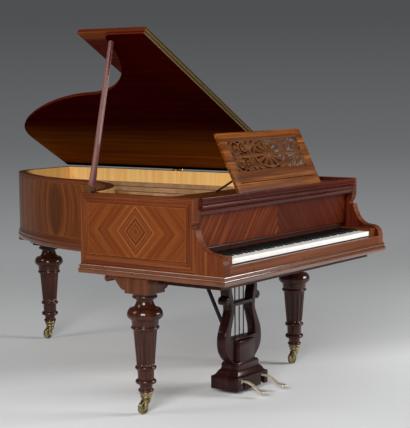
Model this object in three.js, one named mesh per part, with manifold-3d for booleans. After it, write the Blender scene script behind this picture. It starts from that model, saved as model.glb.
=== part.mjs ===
// A grand piano with its lid propped open and the curved side on the player's left.
// X runs across the keyboard, Y from the player to the tail and Z up from the floor, in millimetres.

import * as THREE from "three";
import { mergeVertices } from "three/addons/utils/BufferGeometryUtils.js";
import Module from "manifold-3d";

const wasm = await Module();
wasm.setup();

// Clearances
const gap = 0.3; // between two pieces that touch
const runningGap = 0.8; // beside a piece that turns between two others
const overrun = 6; // how far a cut passes the face that it opens
const weldDistance = 0.001; // points closer than this are one point

// Case
const caseWidth = 1410;
const caseLength = 2130;
const cheekLength = 800; // the straight part of the curved side
const caseBottom = 628;
const rimHeight = 367;
const wall = 42;
const mouldingReach = 10; // how far the lower tier of the base moulding stands out
const mouldingStep = 5; // how far the upper tier is set back
const mouldingHeight = 43;
const mouldingTier = 27;
const pilasterFront = 154; // where the full height of the arms begins

// The curved side: shares of the case width and of the length behind the cheek, four points to a curve.
const bentShares = [
  [0, 0],
  [0.191, 0.011],
  [0.379, 0.18],
  [0.397, 0.383],
  [0.41, 0.529],
  [0.477, 0.707],
  [0.578, 0.865],
  [0.624, 0.936],
  [0.681, 1],
  [0.752, 1],
];
const bentSteps = 8; // straight pieces to each curve

// The front of an arm: shares of the pilaster's depth and of the rim's height.
const armShares = {
  pilasterFoot: [1, 0.804],
  hollow: [1, 0.72],
  neck: [1.117, 0.673],
  noseBack: [1.117, 0.638],
  noseTop: [0.974, 0.638],
  noseFoot: [0.974, 0.624],
  sweep: [0.81, 0.365],
  scroll: [0.396, 0.365],
  shoulder: [0, 0.365],
  toe: [0, 0.196],
};

// Inner case
const linerThickness = 40;
const bellyRailFront = 430;
const bellyRailDepth = 40;
const soundboardThickness = 8;
const beamWidth = 60;
const beamHeight = 80;
const beamShares = [0.46, 0.63, 0.82]; // of the case width
const crossBeamFront = 645;
const crossBeamDepth = 56;

// Keybed and keyboard
const keybedThickness = 43;
const underPanelDrop = 28;
const underPanelInset = 60;
const underPanelFront = 57;
const underPanelBack = 400;
const keyslipDepth = 22;
const keyslipHeight = 37;
const keyBlockWidth = 50;
const keyBlockHeight = 77;
const keyFrameHeight = 41;
const keyFrameEnd = 20;
const keyFrameEndHeight = 19;
const railWidth = 36;
const frontRailDrop = 14; // from the keys to the rail under their fronts
const balanceRailWidth = 30;
const balanceRidgeWidth = 6;
const keyFront = 30;
const balancePoint = 240;
const keyTail = 384;
const keyEnd = 400;
const keyDepth = 22;
const keySide = 1; // between neighbouring keys
const naturalHead = 51;
const naturalTailHeight = 4;
const sharpTailHeight = 8;
const sharpWidth = 10;
const sharpLength = 106;
const sharpRise = 12;
const sharpNose = 6; // the slope at a sharp's front
const sharpFrontGap = 3;
const keyRailDepth = 12; // of the rail that joins a group's sharps
const keyRailLap = 3; // of the naturals' tails over their rail

// Action
const wrestPlankFront = 236;
const wrestPlankBack = 372;
const wrestPlankThickness = 40;
const hammerLine = 385;
const hammerRailHeight = 20;
const hammerRailWidth = 24;
const hammerRailLift = 36; // above the keys
const hammerWidth = 7;
const hammerDepth = 12;
const hammerFall = 41; // below the strings
const damperLine = 411;
const damperLength = 26;
const damperHeight = 13;
const damperRailHeight = 8;
const damperRailDrop = 17; // below the strings
const damperPost = 2;
const trebleWithoutDampers = 20; // the shortest strings have none

// Strings and iron frame
const noteCount = 88;
const stringDrop = 74; // below the rim
const stringSize = 1.8;
const nutLine = 300;
const nutWidth = 10;
const nutStand = 2.7; // of the iron frame under the strings' front ends
const stringInset = 58; // from the case's side to the first string
const hitchInset = 85;
const boardDrop = 31; // from the strings to the soundboard
const ironInset = 43;
const ironWidth = 57;
const ironThickness = 12;
const webThickness = 6;
const webFront = 240;
const shoulderBack = 440;
const barWidth = 14;
const barHeight = 22;
const barLift = 3; // above the strings
const barFront = 262;
const barFoot = 32;
const barMargin = 5; // from a bar to the next string
const barShares = [0.24, 0.42, 0.6, 0.78]; // of the case width
const bridgeWidth = 32;
const bridgeInset = 72; // from the rim to the bridge's ends
const bridgeShare = 0.86; // of each string's length, where the bridge carries it
const bridgeSteps = 16;

// Fallboard and the strip below it
const stripFront = 196;
const stripDepth = 16;
const stripHeight = 31;
const stripRound = 8;
const stripLift = 4; // above the keys
const fallboardFront = 190;
const fallboardThickness = 18;
const fallboardSwingGap = 2;

// Front rail and music shelf
const frontRailFace = 141;
const frontRailBack = 152;
const frontRailHeight = 75;
const frontRailFoot = 158;
const frontRailRear = 170;
const fasciaHeight = 31;
const beadHeight = 8;
const beadReach = 3;
const shelfBack = 410;
const shelfThickness = 18;

// Music desk and its strut
const deskWidth = 712;
const deskHeight = 303;
const deskThickness = 14;
const deskFoldGap = 1; // under the rim when the desk lies flat
const deskLean = 26; // degrees from upright
const deskPivot = 166;
const deskLift = 0.6;
const deskBorder = 43;
const rosetteHeight = 183; // of its middle above the desk's foot
const rosetteShare = 0.33; // its half width, of the desk's half width
const rosetteRadius = 64; // its half height
const petalInnerShare = 0.24; // of the rosette's size
const petalCount = 12;
const petalShare = 0.5; // of each petal's turn that is open
const leafLengthShare = 0.058; // of the desk's half width
const leafWidthShare = 0.028;
const leafShares = [0.42, 0.54, 0.66, 0.78]; // of the desk's half width
const leafRise = 46;
const leafTilt = 35; // degrees
const leafSteps = 8;
const slitLow = 51;
const slitHigh = 55;
const strutShare = 0.7107; // of the desk's half width, from its middle to the strut
const strutWidth = 16;
const strutThickness = 6;
const strutLength = 177;
const strutPivotHeight = 100;
const strutPivotDepth = 4;
const strutPocketDepth = 7.5;
const strutSide = 1;
const strutPocketEnd = 8;

// Lid
const lidThickness = 18;
const lidSeat = 4; // from the rim to the lid
const lidOverhang = 10;
const lidAngle = 30; // degrees
const lidSplit = 560;
const flapLength = 415;
const lidHingeReach = 4; // from the case to the hinge pin
const lidHingeGap = 5; // from the hinge pin to the lid
const lidCorner = 55; // behind the cheek
const flapCorner = 20;
const hingeLength = 70;
const hingeRadius = 4.5;
const hingeLeafWidth = 26;
const hingeLeafThickness = 1.7;
const hingeShares = [0.33, 0.614]; // of the case length

// Prop
const propInset = 53; // from the end of the cheek to the prop's foot
const propPinHeight = 17.5;
const propTipInset = 49; // from the lid's free edge
const propLean = 37; // of the prop's tip behind its foot
const propTipDrop = 4.5; // from the lid to the prop's end
const propThickness = 18;
const propFootRadius = 12;
const propTipRadius = 9;
const pinRadius = 4;
const pinPlay = 0.5;
const lugThickness = 4;
const lugSide = 0.6;
const lugTop = 9;
const lugBottom = 22;
const plateInset = 3;
const plateLength = 56;
const plateThickness = 2.5;
const slotWidth = 7;
const slotLength = 118;
const slotFromTip = 42;
const stickWidth = 6;
const stickRadius = 5;
const stickLength = 100;
const stickPinRadius = 1.5;
const stickFromSlotEnd = 9;

// Legs
const legInset = 72;
const frontLegY = 487;
const rearLegX = 1125;
const rearLegInset = 85; // from the tail
const legBlock = 130;
const legBlockHeight = 76;
const legRadius = 81.5;
const legFoot = 101;
const legSteps = 16;
const bracketLength = 122;
const bracketThickness = 118;
const curlRadius = 15.5; // of the curl at a bracket's end
const curlLift = 1; // from the curl to the case

// The lower edge of a bracket: shares of its length and of the block's height below the case.
const bracketShares = [
  [0.05, 0.9],
  [0.3, 0.84],
  [0.434, 0.4],
  [0.5, 0.2],
  [0.61, 0.18],
];

// A leg from foot to block: shares of its height and of its largest radius.
const legShares = [
  [0, 0.405],
  [0.025, 0.43],
  [0.04, 0.356],
  [0.071, 0.356],
  [0.089, 0.54],
  [0.107, 0.589],
  [0.125, 0.54],
  [0.134, 0.466],
  [0.225, 0.466],
  [0.241, 0.552],
  [0.257, 0.589],
  [0.266, 0.503],
  [0.628, 0.66],
  [0.639, 0.75],
  [0.654, 0.797],
  [0.672, 0.74],
  [0.71, 0.75],
  [0.742, 0.86],
  [0.745, 0.94],
  [0.778, 1],
  [0.812, 0.985],
  [0.84, 0.86],
  [0.862, 0.64],
  [0.9, 0.5],
  [0.942, 0.52],
  [0.949, 0.68],
  [0.975, 0.7],
  [1, 0.675],
];

// Casters
const wheelRadius = 30;
const wheelWidth = 20;
const wheelEdge = 4;
const axleRadius = 4;
const axlePlay = 0.5;
const forkCheek = 4;
const forkSide = 0.6;
const forkCrown = 4;
const forkCrownRadius = 20;
const forkLip = 1;
const trail = 22;
const cupRadius = 25;
const cupLip = 29;
const wheelSteps = 24;

// Lyre
const lyreX = 687;
const lyreFront = 370;
const lyreDepth = 50;
const lyreHalfWidth = 157;
const lyreFoot = 118;
const lyreSteps = 20;
const topBoard = 22;
const noseRadius = 20;
const noseX = 128; // from the lyre's middle to the centre of each round nose
const noseZ = 452;
const ledgeTop = 262;
const ledgeHeight = 13;
const ledgeReach = 6;
const ledgeHalfWidth = 76;
const blockHalfWidth = 66;
const blockReach = 22;
const blockFoot = 132;
const plinthHalfWidth = 90;
const plinthHeight = 30;
const plinthFront = 342;
const plinthBack = 440;
const rodRadius = 5;
const rodSpacing = 36;
const rodSteps = 10;

// One side of the lyre: shares of its half width and of its height, from the top down.
const lyreShares = [
  [0.79, 1],
  [0.79, 0.75],
  [0.72, 0.69],
  [0.665, 0.627],
  [0.665, 0.575],
  [0.77, 0.496],
  [0.88, 0.424],
  [0.97, 0.357],
  [1, 0.274],
  [0.955, 0.191],
  [0.815, 0.12],
  [0.57, 0.046],
  [0.55, 0],
];
// The opening's side from the crossbar down to the ledge, and above the crossbar: the same shares.
const openingShares = [
  [0.46, 0.627],
  [0.46, 0.575],
  [0.5, 0.53],
  [0.58, 0.45],
  [0.65, 0.37],
  [0.66, 0.299],
];
const upperShares = [
  [0.6, 0.955],
  [0.6, 0.8],
  [0.52, 0.72],
  [0.5, 0.664],
];

// Pedals and the box that they leave
const boxHalfWidth = 130;
const boxFront = 316;
const boxBack = 474;
const boxBottom = 20;
const boxShoulder = 82;
const boxWall = 15;
const boxRoof = 12;
const pedalSpacing = 170;
const pedalWidth = 22;
const pedalTipWidth = 38;
const pedalTipLength = 52;
const pedalThickness = 9;
const pedalTop = 69;
const pedalPivot = 446;
const pedalRear = 2;
const pedalBend = 300;
const pedalTipStart = 214;
const pedalTipEnd = 180;
const pedalTipTop = 34;
const pedalSlotSide = 5;
const pedalSlotHigh = 74;
const pedalBeamDepth = 30;
const braceWidth = 14;
const braceFoot = 150;
const braceFootHeight = 29;
const braceTopY = 648;
const braceTopDepth = 14;

// Levels and places that follow from the dimensions
const strutInset = (strutShare * deskWidth) / 2;
const propFootY = cheekLength - propInset;
const propTipY = propFootY + propLean;
const rimTop = caseBottom + rimHeight;
const keybedTop = caseBottom + keybedThickness;
const keyBottom = keybedTop + keyFrameHeight;
const keyTop = keyBottom + keyDepth;
const stringZ = rimTop - stringDrop;
const boardTop = stringZ - boardDrop;
const boardBottom = boardTop - soundboardThickness;
const webTop = stringZ - barLift;
const innerLeft = wall + gap;
const innerRight = caseWidth - wall - gap;
const keysLeft = wall + keyBlockWidth;
const keysRight = caseWidth - keysLeft;
const deskPivotZ = rimTop - deskThickness - deskFoldGap + deskLift;
const shelfTop = rimTop - deskThickness - deskFoldGap;
const hingeX = caseWidth + lidHingeReach;
const hingeZ = rimTop + lidSeat;
const lidTurn = THREE.MathUtils.degToRad(lidAngle);
const farthestX =
  hingeX + (2 * lidThickness + gap) * Math.sin(lidTurn) - lidHingeGap * Math.cos(lidTurn);
const middleX = (farthestX - mouldingReach) / 2; // of the whole piano, its raised lid included
const wheelAngle = Math.PI / wheelSteps;
const wheelZ = wheelRadius * Math.cos(wheelAngle);

// Materials
const wood = (color, roughness = 0.32) => new THREE.MeshStandardMaterial({ color, roughness });
const metal = (color, roughness = 0.35) =>
  new THREE.MeshStandardMaterial({ color, roughness, metalness: 1 });
const veneer = wood(0x78411f);
const darkWood = wood(0x4a2213);
const lidWood = wood(0x3a170b);
const deskWood = wood(0x8c5226);
const paleWood = wood(0xc79a5e, 0.5);
const spruce = wood(0xb48d5c, 0.5);
const propWood = wood(0xa86f5e);
const ivory = wood(0xe9e2cd, 0.3);
const ebony = wood(0x16110f, 0.3);
const feltBlack = wood(0x1c1716, 0.9);
const brass = metal(0xb08a45);
const steel = metal(0xa9a7a0);
const bronze = metal(0x9a7a4e, 0.5);

// Solids: a three.js geometry goes in and comes back out of each join or cut.

function solid(geometry) {
  const bare = geometry.clone();
  bare.deleteAttribute("normal");
  bare.deleteAttribute("uv");
  const merged = mergeVertices(bare, weldDistance);
  const index = Array.from(merged.index.array);
  const kept = [];
  for (let i = 0; i < index.length; i += 3) {
    const [a, b, c] = index.slice(i, i + 3);
    if (a !== b && b !== c && c !== a) kept.push(a, b, c);
  }
  const vertProperties = new Float32Array(merged.attributes.position.array);
  return new wasm.Manifold(
    new wasm.Mesh({ numProp: 3, vertProperties, triVerts: new Uint32Array(kept) }),
  );
}

function geometryOf(manifold) {
  const mesh = manifold.getMesh();
  const geometry = new THREE.BufferGeometry();
  geometry.setAttribute("position", new THREE.BufferAttribute(mesh.vertProperties, 3));
  geometry.setIndex(new THREE.BufferAttribute(mesh.triVerts, 1));
  return geometry;
}

const join = (...parts) => geometryOf(parts.map(solid).reduce((a, b) => a.add(b)));
const cut = (body, ...tools) =>
  geometryOf(tools.map(solid).reduce((a, b) => a.subtract(b), solid(body)));
const shared = (a, b) => geometryOf(solid(a).intersect(solid(b)));

// A box between its lowest and highest corners.
function box(x0, x1, y0, y1, z0, z1) {
  const geometry = new THREE.BoxGeometry(x1 - x0, y1 - y0, z1 - z0);
  return geometry.translate((x0 + x1) / 2, (y0 + y1) / 2, (z0 + z1) / 2);
}

const toShape = (points) => new THREE.Shape(points.map(([a, b]) => new THREE.Vector2(a, b)));

// An outline pushed along an axis. It is read as (Y, Z) along X, as (X, Z) along Y and as (X, Y) along Z.
function prism(axis, outline, from, to, curveSegments = 6) {
  const shape = outline instanceof THREE.Shape ? outline : toShape(outline);
  const settings = { depth: to - from, bevelEnabled: false, curveSegments };
  const geometry = new THREE.ExtrudeGeometry(shape, settings);
  if (axis === "x") {
    const [x, y, z] = [0, 1, 2].map((i) => new THREE.Vector3().setComponent(i, 1));
    return geometry.applyMatrix4(new THREE.Matrix4().makeBasis(y, z, x)).translate(from, 0, 0);
  }
  if (axis === "y") return geometry.rotateX(Math.PI / 2).translate(0, to, 0);
  return geometry.translate(0, 0, from);
}

// A closed profile of (radius, height) points turned about Z.
function turned(profile, steps) {
  const points = profile.map(([r, z]) => new THREE.Vector2(r, z));
  return geometryOf(solid(new THREE.LatheGeometry(points, steps).rotateX(Math.PI / 2)));
}

// A round bar along X, Y or Z.
function rod(axis, radius, from, to, steps = 12) {
  const length = to - from;
  const geometry = new THREE.CylinderGeometry(radius, radius, length, steps);
  if (axis === "x") return geometry.rotateZ(Math.PI / 2).translate(from + length / 2, 0, 0);
  if (axis === "z") return geometry.rotateX(Math.PI / 2).translate(0, 0, from + length / 2);
  return geometry.translate(0, from + length / 2, 0);
}

// A flat bar with round ends between two places on the first axis of its outline.
function stadium(x0, r0, x1, r1) {
  const shape = new THREE.Shape();
  shape.absarc(x0, 0, r0, Math.PI / 2, -Math.PI / 2, false);
  shape.absarc(x1, 0, r1, -Math.PI / 2, Math.PI / 2, false);
  return shape;
}

// An outline moved outwards along its corners' bisectors. The points run anticlockwise.
function offsetOutline(points, distance) {
  const normal = (a, b) => new THREE.Vector2(b[1] - a[1], a[0] - b[0]).normalize();
  return points.map((point, i) => {
    const before = normal(points.at(i - 1), point);
    const after = normal(point, points[(i + 1) % points.length]);
    const reach = distance / (1 + before.dot(after));
    return [point[0] + reach * (before.x + after.x), point[1] + reach * (before.y + after.y)];
  });
}

// An outline of even width around an open line of points.
function band(line, width) {
  const sides = line.map(([x, y], i) => {
    const before = line[Math.max(i - 1, 0)];
    const after = line[Math.min(i + 1, line.length - 1)];
    const across = new THREE.Vector2(before[1] - after[1], after[0] - before[0]);
    across.setLength(width / 2);
    return [[x + across.x, y + across.y], [x - across.x, y - across.y]];
  });
  return [...sides.map(([near]) => near), ...sides.map(([, far]) => far).reverse()];
}

// The same points with one corner rounded.
function roundedAt(points, index, radius, steps = 5) {
  const corner = new THREE.Vector2(...points.at(index));
  const towards = (other) =>
    new THREE.Vector2(...other).sub(corner).setLength(radius).add(corner);
  const start = towards(points.at(index - 1));
  const end = towards(points[(index + 1) % points.length]);
  const arc = new THREE.QuadraticBezierCurve(start, corner, end).getPoints(steps);
  const list = [...points];
  list.splice(index, 1, ...arc.map((p) => [p.x, p.y]));
  return list;
}

// The scene graph: the case frame has its corner at the origin, and the piano stands centred on it.
const piano = new THREE.Group();
const frame = new THREE.Group();
frame.position.set(-middleX, -caseLength / 2, 0);
piano.add(frame);

function add(name, geometry, material, parent = frame) {
  const mesh = new THREE.Mesh(geometry, material);
  mesh.name = name;
  parent.add(mesh);
  return mesh;
}

function group(parent, x, y, z) {
  const made = new THREE.Group();
  made.position.set(x, y, z);
  parent.add(made);
  return made;
}

// Case outline, anticlockwise from the player's left front corner
const bentPoint = ([across, along]) =>
  new THREE.Vector2(across * caseWidth, cheekLength + along * (caseLength - cheekLength));

function bentCurve() {
  const points = [bentPoint(bentShares[0])];
  for (let i = 0; i + 3 < bentShares.length; i += 3) {
    const controls = bentShares.slice(i, i + 4).map(bentPoint);
    points.push(...new THREE.CubicBezierCurve(...controls).getPoints(bentSteps).slice(1));
  }
  return points.map((p) => [p.x, p.y]).reverse();
}

const outline = [[0, 0], [caseWidth, 0], [caseWidth, caseLength], ...bentCurve()];
const plan = (inset) => offsetOutline(outline, -inset);

// The furthest Y inside the case at a given X, this far in from its outline.
function planY(x, inset) {
  const points = plan(inset);
  let furthest = 0;
  points.forEach(([x0, y0], i) => {
    const [x1, y1] = points[(i + 1) % points.length];
    if ((x0 - x) * (x1 - x) > 0 || x0 === x1) return;
    furthest = Math.max(furthest, y0 + ((y1 - y0) * (x - x0)) / (x1 - x0));
  });
  return furthest;
}

// A region inside the outline, open towards the player in front of frontY.
function insidePlate(inset, frontY, z0, z1) {
  const whole = prism("z", plan(inset), z0, z1);
  return cut(
    whole,
    box(-overrun, caseWidth + overrun, -overrun, frontY, z0 - overrun, z1 + overrun),
  );
}

function insideRing(inset, width, frontY, z0, z1) {
  const hole = prism("z", plan(inset + width), z0 - overrun, z1 + overrun);
  return cut(insidePlate(inset, frontY, z0, z1), hole);
}

// Rim and arms
function armCutter() {
  const at = ([depth, height]) => [depth * pilasterFront, caseBottom + height * rimHeight];
  const shape = new THREE.Shape();
  shape.moveTo(-overrun, rimTop + overrun);
  shape.lineTo(pilasterFront, rimTop + overrun);
  shape.lineTo(...at(armShares.pilasterFoot));
  shape.quadraticCurveTo(...at(armShares.hollow), ...at(armShares.neck));
  shape.lineTo(...at(armShares.noseBack));
  shape.lineTo(...at(armShares.noseTop));
  shape.lineTo(...at(armShares.noseFoot));
  shape.quadraticCurveTo(...at(armShares.sweep), ...at(armShares.scroll));
  shape.quadraticCurveTo(...at(armShares.shoulder), ...at(armShares.toe));
  shape.lineTo(-overrun, at(armShares.toe)[1]);
  return prism("x", shape, -overrun, caseWidth + overrun);
}

// A wall between two corners of the outline, mitred with its neighbours.
function wallPiece(outer, inner) {
  const shortened = (points) => {
    const list = points.map(([x, y]) => new THREE.Vector2(x, y));
    const step = (a, b) => b.clone().sub(a).setLength(gap);
    const first = list[0].clone().add(step(list[0], list[1]));
    const last = list.at(-1).clone().add(step(list.at(-1), list.at(-2)));
    return [first, ...list.slice(1, -1), last].map((p) => [p.x, p.y]);
  };
  const points = [...shortened(outer), ...shortened(inner).reverse()];
  return prism("z", points, caseBottom, rimTop);
}

function addRim() {
  const inner = plan(wall);
  inner[0] = [wall, 0];
  inner[1] = [caseWidth - wall, 0];
  const between = (from, to) => [outline.slice(from, to), inner.slice(from, to)];
  const cheek = wallPiece([outline.at(-1), outline[0]], [inner.at(-1), inner[0]]);
  add("cheek_left", cut(cheek, armCutter()), veneer);
  add("spine_side", cut(wallPiece(...between(1, 3)), armCutter()), veneer);
  add("tail_board", wallPiece(...between(2, 4)), veneer);
  add("bentside", wallPiece(...between(3, outline.length)), veneer);
}

function addMoulding() {
  const tier = (reach, top) => prism("z", plan(-reach), caseBottom, top);
  const top = caseBottom + mouldingHeight;
  const tiers = join(
    tier(mouldingReach, caseBottom + mouldingTier),
    tier(mouldingReach - mouldingStep, top),
  );
  const middle = prism("z", plan(-gap), caseBottom - overrun, top + overrun);
  add("base_moulding", cut(tiers, middle), veneer);
}

function addInnerCase() {
  const bellyBack = bellyRailFront + bellyRailDepth;
  const top = boardBottom - gap;
  add(
    "rim_liner",
    insideRing(wall + gap, linerThickness, bellyBack + gap, caseBottom, top),
    paleWood,
  );
  const beamInset = wall + linerThickness + gap + gap;
  const beams = beamShares.map((share) => {
    const x0 = share * caseWidth - beamWidth / 2;
    const x1 = x0 + beamWidth;
    const back = Math.min(planY(x0, beamInset), planY(x1, beamInset));
    return box(x0, x1, bellyRailFront + gap, back, caseBottom, caseBottom + beamHeight);
  });
  const left = wall + linerThickness + gap + gap;
  const crossBack = crossBeamFront + crossBeamDepth;
  const frameParts = [
    box(innerLeft, innerRight, bellyRailFront + gap, bellyBack, caseBottom, top),
    box(left, caseWidth - left, crossBeamFront, crossBack, caseBottom, caseBottom + beamHeight),
    ...beams,
  ];
  add("bottom_frame", join(...frameParts), paleWood);
  add(
    "soundboard",
    insidePlate(wall + gap, bellyRailFront + gap, boardBottom, boardTop),
    spruce,
  );
}

// Keybed with the frame that the keys rock on
function addKeybed() {
  const railTop = keyBottom - gap;
  const [left, right] = [keysLeft + keySide, keysRight - keySide];
  const ridge = balanceRidgeWidth / 2;
  const half = balanceRailWidth / 2;
  const slope = half - ridge;
  const balanceRail = [
    [balancePoint - half, keybedTop - overrun],
    [balancePoint + half, keybedTop - overrun],
    [balancePoint + half, railTop - slope],
    [balancePoint + ridge, railTop],
    [balancePoint - ridge, railTop],
    [balancePoint - half, railTop - slope],
  ];
  const endTop = keybedTop + keyFrameEndHeight;
  const frontRail = keyFront + keySide;
  const backRail = keyEnd - railWidth;
  const under = caseBottom - underPanelDrop;
  const bed = join(
    box(innerLeft, innerRight, gap, bellyRailFront, caseBottom, keybedTop),
    box(
      underPanelInset,
      caseWidth - underPanelInset,
      underPanelFront,
      underPanelBack,
      under,
      keybedTop,
    ),
    box(left, right, frontRail, frontRail + railWidth, caseBottom, keyBottom - frontRailDrop),
    box(left, right, backRail, keyEnd, caseBottom, railTop),
    prism("x", balanceRail, left, right),
    box(left, left + keyFrameEnd, frontRail, keyEnd, caseBottom, endTop),
    box(right - keyFrameEnd, right, frontRail, keyEnd, caseBottom, endTop),
  );
  add("keybed", bed, paleWood);

  const base = keybedTop + gap;
  add(
    "keyslip",
    box(innerLeft, innerRight, gap, keyslipDepth, base, base + keyslipHeight),
    veneer,
  );
  const block = (x0, x1) =>
    box(x0, x1, keyslipDepth + gap, stripFront - gap, base, base + keyBlockHeight);
  add("key_block_left", block(innerLeft, keysLeft - gap), veneer);
  add("key_block_right", block(keysRight + gap, innerRight), veneer);
}

// Keys. The bass is at the spine, so the notes run down from left to right.
const lowestNote = 21;
const octaveStarts = [84, 72, 60, 48, 36, lowestNote]; // the lowest note of each group of keys
const isSharp = (note) => [1, 3, 6, 8, 10].includes(note % 12);
// How far each sharp stands off the line between its neighbours, as a share of a sharp's width.
const sharpShiftShares = { 1: 0.2, 3: -0.2, 6: 0.3, 8: 0, 10: -0.3 };

function keyPlaces() {
  const notes = Array.from({ length: noteCount }, (_, i) => lowestNote + noteCount - 1 - i);
  const naturalCount = notes.filter((note) => !isSharp(note)).length;
  const pitch = (keysRight - keysLeft) / naturalCount;
  let line = keysLeft;
  return notes.map((note) => {
    if (isSharp(note)) {
      const middle = line + sharpShiftShares[note % 12] * sharpWidth;
      return { note, x0: middle - sharpWidth / 2, x1: middle + sharpWidth / 2 };
    }
    line += pitch;
    return { note, x0: line - pitch + keySide / 2, x1: line - keySide / 2 };
  });
}

function naturalKey(key, before, after) {
  const x0 = before && isSharp(before.note) ? before.x1 + keySide : key.x0;
  const x1 = after && isSharp(after.note) ? after.x0 - keySide : key.x1;
  const headBack = keyFront + naturalHead;
  const keyPlan = [
    [key.x0, keyFront],
    [key.x1, keyFront],
    [key.x1, headBack],
    [x1, headBack],
    [x1, keyTail],
    [x0, keyTail],
    [x0, headBack],
    [key.x0, headBack],
  ].filter(([x, y], i, all) => x !== all.at(i - 1)[0] || y !== all.at(i - 1)[1]);
  return prism("z", keyPlan, keyBottom, keyTop);
}

function sharpKey(key) {
  const front = keyFront + naturalHead + sharpFrontGap;
  const top = keyTop + sharpRise;
  const sharpTail = keyTail - keyRailLap - sharpFrontGap;
  const side = [
    [front, keyBottom],
    [sharpTail, keyBottom],
    [sharpTail, keyTop - sharpTailHeight],
    [keyEnd, keyTop - sharpTailHeight],
    [keyEnd, keyTop],
    [front + sharpLength, keyTop],
    [front + sharpLength, top],
    [front + sharpNose, top],
    [front, top - sharpNose],
  ];
  return prism("x", side, key.x0, key.x1);
}

function addKeys() {
  const keys = keyPlaces();
  octaveStarts.forEach((start, i) => {
    const end = i ? octaveStarts[i - 1] : lowestNote + noteCount;
    const octave = octaveStarts.length - i;
    const inGroup = keys.filter((key) => key.note >= start && key.note < end);
    const naturals = inGroup.filter((key) => !isSharp(key.note));
    const sharps = inGroup.filter((key) => isSharp(key.note));
    const rail = (list, y0, z0, z1) =>
      box(list[0].x0 + keySide, list.at(-1).x1 - keySide, y0, keyEnd, z0, z1);
    const naturalSolids = naturals.map((key) => {
      const place = keys.indexOf(key);
      return naturalKey(key, keys[place - 1], keys[place + 1]);
    });
    const lap = keyTail - keyRailLap;
    const naturalRail = rail(naturals, lap, keyBottom, keyBottom + naturalTailHeight);
    const sharpRail = rail(sharps, keyEnd - keyRailDepth, keyTop - sharpTailHeight, keyTop);
    add(`naturals_${octave}`, join(...naturalSolids, naturalRail), ivory);
    add(`sharps_${octave}`, join(...sharps.map(sharpKey), sharpRail), ebony);
  });
}

// Strings run parallel to the spine, in groups between the bars of the iron frame.
function stringPlaces() {
  const bars = barShares.map((share) => share * caseWidth);
  const half = barWidth / 2 + barMargin;
  const starts = [wall + stringInset, ...bars.map((x) => x + half)];
  const ends = [...bars.map((x) => x - half), caseWidth - wall - stringInset];
  return starts.flatMap((start, i) => {
    const count =
      Math.round(((i + 1) * noteCount) / starts.length) -
      Math.round((i * noteCount) / starts.length);
    return Array.from({ length: count }, (_, k) => ({
      x: start + ((ends[i] - start) * k) / (count - 1),
      group: i,
    }));
  });
}

function addAction() {
  const plankTop = stringZ - barLift - webThickness - gap;
  add(
    "wrest_plank",
    box(
      innerLeft,
      innerRight,
      wrestPlankFront,
      wrestPlankBack,
      plankTop - wrestPlankThickness,
      plankTop,
    ),
    darkWood,
  );
  const strings = stringPlaces();
  const railBottom = keyTop + hammerRailLift;
  const railTop = railBottom + hammerRailHeight;
  const foot = railTop + gap;
  const top = stringZ - hammerFall;
  const rail = box(
    innerLeft,
    innerRight,
    hammerLine - hammerRailWidth / 2,
    hammerLine + hammerRailWidth / 2,
    railBottom,
    railTop,
  );
  const teeth = strings.flatMap(({ x }) => {
    const half = hammerWidth / 2;
    return [[x - half, foot], [x - half, top], [x + half, top], [x + half, foot]];
  });
  const ends = [[strings.at(-1).x + hammerWidth, railBottom], [strings[0].x - hammerWidth, railBottom]];
  const hammers = prism(
    "y",
    [[ends[1][0], foot], ...teeth, [ends[0][0], foot], ...ends],
    hammerLine - hammerDepth / 2,
    hammerLine + hammerDepth / 2,
  );
  add("hammer_rail", join(rail, hammers), feltBlack);
}

// Each damper lies on two strings and hangs from a post between them.
function addDampers() {
  const strings = stringPlaces();
  const railTop = stringZ - damperRailDrop;
  const headBottom = stringZ + stringSize + gap;
  const headTop = headBottom + damperHeight;
  const front = damperLine - damperLength / 2;
  const back = damperLine + damperLength / 2;
  const teeth = [];
  for (let i = trebleWithoutDampers; i + 1 < strings.length; i += 2) {
    const [near, far] = [strings[i], strings[i + 1]];
    if (near.group !== far.group) continue;
    const middle = (near.x + far.x) / 2;
    const side = (far.x - near.x) / 2 + stringSize;
    const post = damperPost / 2;
    teeth.push(
      [middle - post, railTop],
      [middle - post, headBottom],
      [middle - side, headBottom],
      [middle - side, headTop],
      [middle + side, headTop],
      [middle + side, headBottom],
      [middle + post, headBottom],
      [middle + post, railTop],
    );
  }
  const railBottom = railTop - damperRailHeight;
  const [left, right] = [strings[trebleWithoutDampers].x, strings.at(-1).x];
  const comb = [[left, railBottom], [left, railTop], ...teeth, [right, railTop], [right, railBottom]];
  add("dampers", prism("y", comb, front, back), feltBlack);
}

function addStrings() {
  const strings = stringPlaces();
  const half = stringSize / 2;
  const front = nutLine - nutWidth / 2;
  const back = nutLine + nutWidth / 2;
  const comb = strings.flatMap(({ x }) => {
    const hitch = planY(x, hitchInset);
    return [[x - half, back], [x - half, hitch], [x + half, hitch], [x + half, back]];
  });
  const ends = [[strings.at(-1).x + half, front], [strings[0].x - half, front]];
  add("strings", prism("z", [...comb, ...ends], stringZ, stringZ + stringSize), steel);

  const left = wall + bridgeInset;
  const span = caseWidth - 2 * left;
  const line = Array.from({ length: bridgeSteps + 1 }, (_, i) => {
    const x = left + (span * i) / bridgeSteps;
    return [x, nutLine + bridgeShare * (planY(x, hitchInset) - nutLine)];
  });
  const bridge = prism("z", band(line, bridgeWidth), boardTop + gap, stringZ - gap);
  add("bridge", bridge, darkWood);
}

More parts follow.
